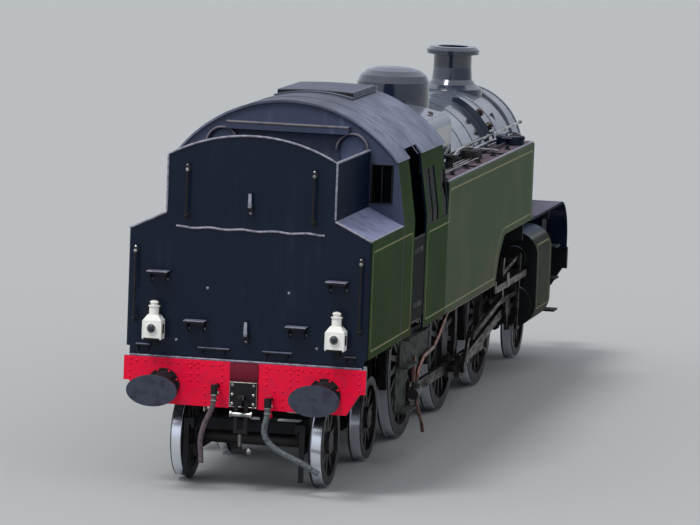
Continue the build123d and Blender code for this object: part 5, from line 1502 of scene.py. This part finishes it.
def hose(name, points, radius):
    """A hose as one NURBS curve. Its thickness is set by the points, and the bevel of 1 only multiplies it."""
    curve = bpy.data.curves.new(name, "CURVE")
    curve.dimensions = "3D"
    curve.bevel_depth = 1.0
    curve.bevel_resolution = 6
    curve.use_fill_caps = True
    spline = curve.splines.new("NURBS")
    spline.points.add(len(points) - 1)
    for point, at in zip(spline.points, points):
        point.co = (*at, 1)
        point.radius = radius
    spline.order_u = 3
    spline.use_endpoint_u = True
    spline.resolution_u = 12
    piece = bpy.data.objects.new(name, curve)
    bpy.context.scene.collection.objects.link(piece)
    curve.materials.append(RUBBER)
    return piece


def spline_length(piece):
    """Length of a curve's own line."""
    depth = piece.data.bevel_depth
    piece.data.bevel_depth = 0
    line = bpy.data.meshes.new_from_object(piece.evaluated_get(bpy.context.evaluated_depsgraph_get()))
    piece.data.bevel_depth = depth
    points = [v.co for v in line.vertices]
    return sum((b - a).length for a, b in zip(points, points[1:]))


for end, word in ((-1, "rear"), (1, "front")):
    for kind, radius, route in (("brake", BRAKE_HOSE_R, BRAKE_ROUTE), ("heating", HEATING_HOSE_R, HEATING_ROUTE)):
        points = [(end * HOSE_X, -end * y, z + RAIL) for y, z in route]
        piece = hose(f"{word}_{kind}_hose_rubber", points, radius)
        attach(piece, "locomotive")
        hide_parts(f"{word}_{kind}_hose")
        length = spline_length(piece)
        print(piece.name, round(length, 3), "m")

# %% [markdown]
# ## Floor and light
# A plain pale floor and a soft sky with hardly any tint show the shapes and keep the colours true.
# The sky is brighter overhead and on the left, where the light in the photograph comes from, so the glossy boiler
# shows a bright band along its top. One wide, soft sun adds the shadow on the floor.

# %% Floor, world and lamp
FLOOR_HALF = 300
SUN_STRENGTH = 1.8
SUN_SPREAD = radians(18)
SUN_FROM = Vector((-0.40, 0.30, 0.9))


def pale_floor():
    """A wide pale floor, which isn't part of the engine."""
    mesh = bpy.data.meshes.new("studio_floor")
    half = FLOOR_HALF
    mesh.from_pydata([(-half, -half, 0), (half, -half, 0), (half, half, 0), (-half, half, 0)], [], [(0, 1, 2, 3)])
    piece = bpy.data.objects.new("studio_floor", mesh)
    bpy.context.scene.collection.objects.link(piece)
    material, tree, shader, place = new_material("matt_studio_floor", "#A3A4A3", 0.9)
    fill(tree, shader, {"Specular IOR Level": 0.1})
    mesh.materials.append(material)


def soft_sky():
    """A sky that is brighter overhead than at the horizon, as in a studio with a large ceiling light."""
    world = bpy.data.worlds.new("soft_sky")
    world.use_nodes = True
    tree = world.node_tree
    direction = add_node(tree, "ShaderNodeTexCoord", out="Generated")
    height = add_node(tree, SEPARATE, [direction], out="Z")
    across = add_node(tree, SEPARATE, [direction], out="Y")
    overhead = add_node(tree, MAP_RANGE, [height, -0.1, 0.9], **SMOOTH)
    left = add_node(tree, MAP_RANGE, [across, -0.7, 0.7], **SMOOTH)
    horizon = add_node(tree, MIX, {0: left, 6: "#8C94A4", 7: "#DCE4F4"}, **RGBA)
    colour = add_node(tree, MIX, {0: overhead, 6: horizon, 7: "#F6F9FF"}, **RGBA)
    fill(tree, tree.nodes["Background"], {"Color": colour, "Strength": 1.0})
    bpy.context.scene.world = world


def key_lamp():
    """A wide, soft sun from high on the left, behind the camera, as in the photograph."""
    light = bpy.data.lights.new("key", "SUN")
    light.energy = SUN_STRENGTH
    light.angle = SUN_SPREAD
    lamp = bpy.data.objects.new("key", light)
    lamp.matrix_world = SUN_FROM.to_track_quat("Z", "Y").to_matrix().to_4x4()
    bpy.context.scene.collection.objects.link(lamp)


pale_floor()
soft_sky()
key_lamp()
bpy.context.scene.view_settings.view_transform = "Standard"
print("floor, sky and sun in place")
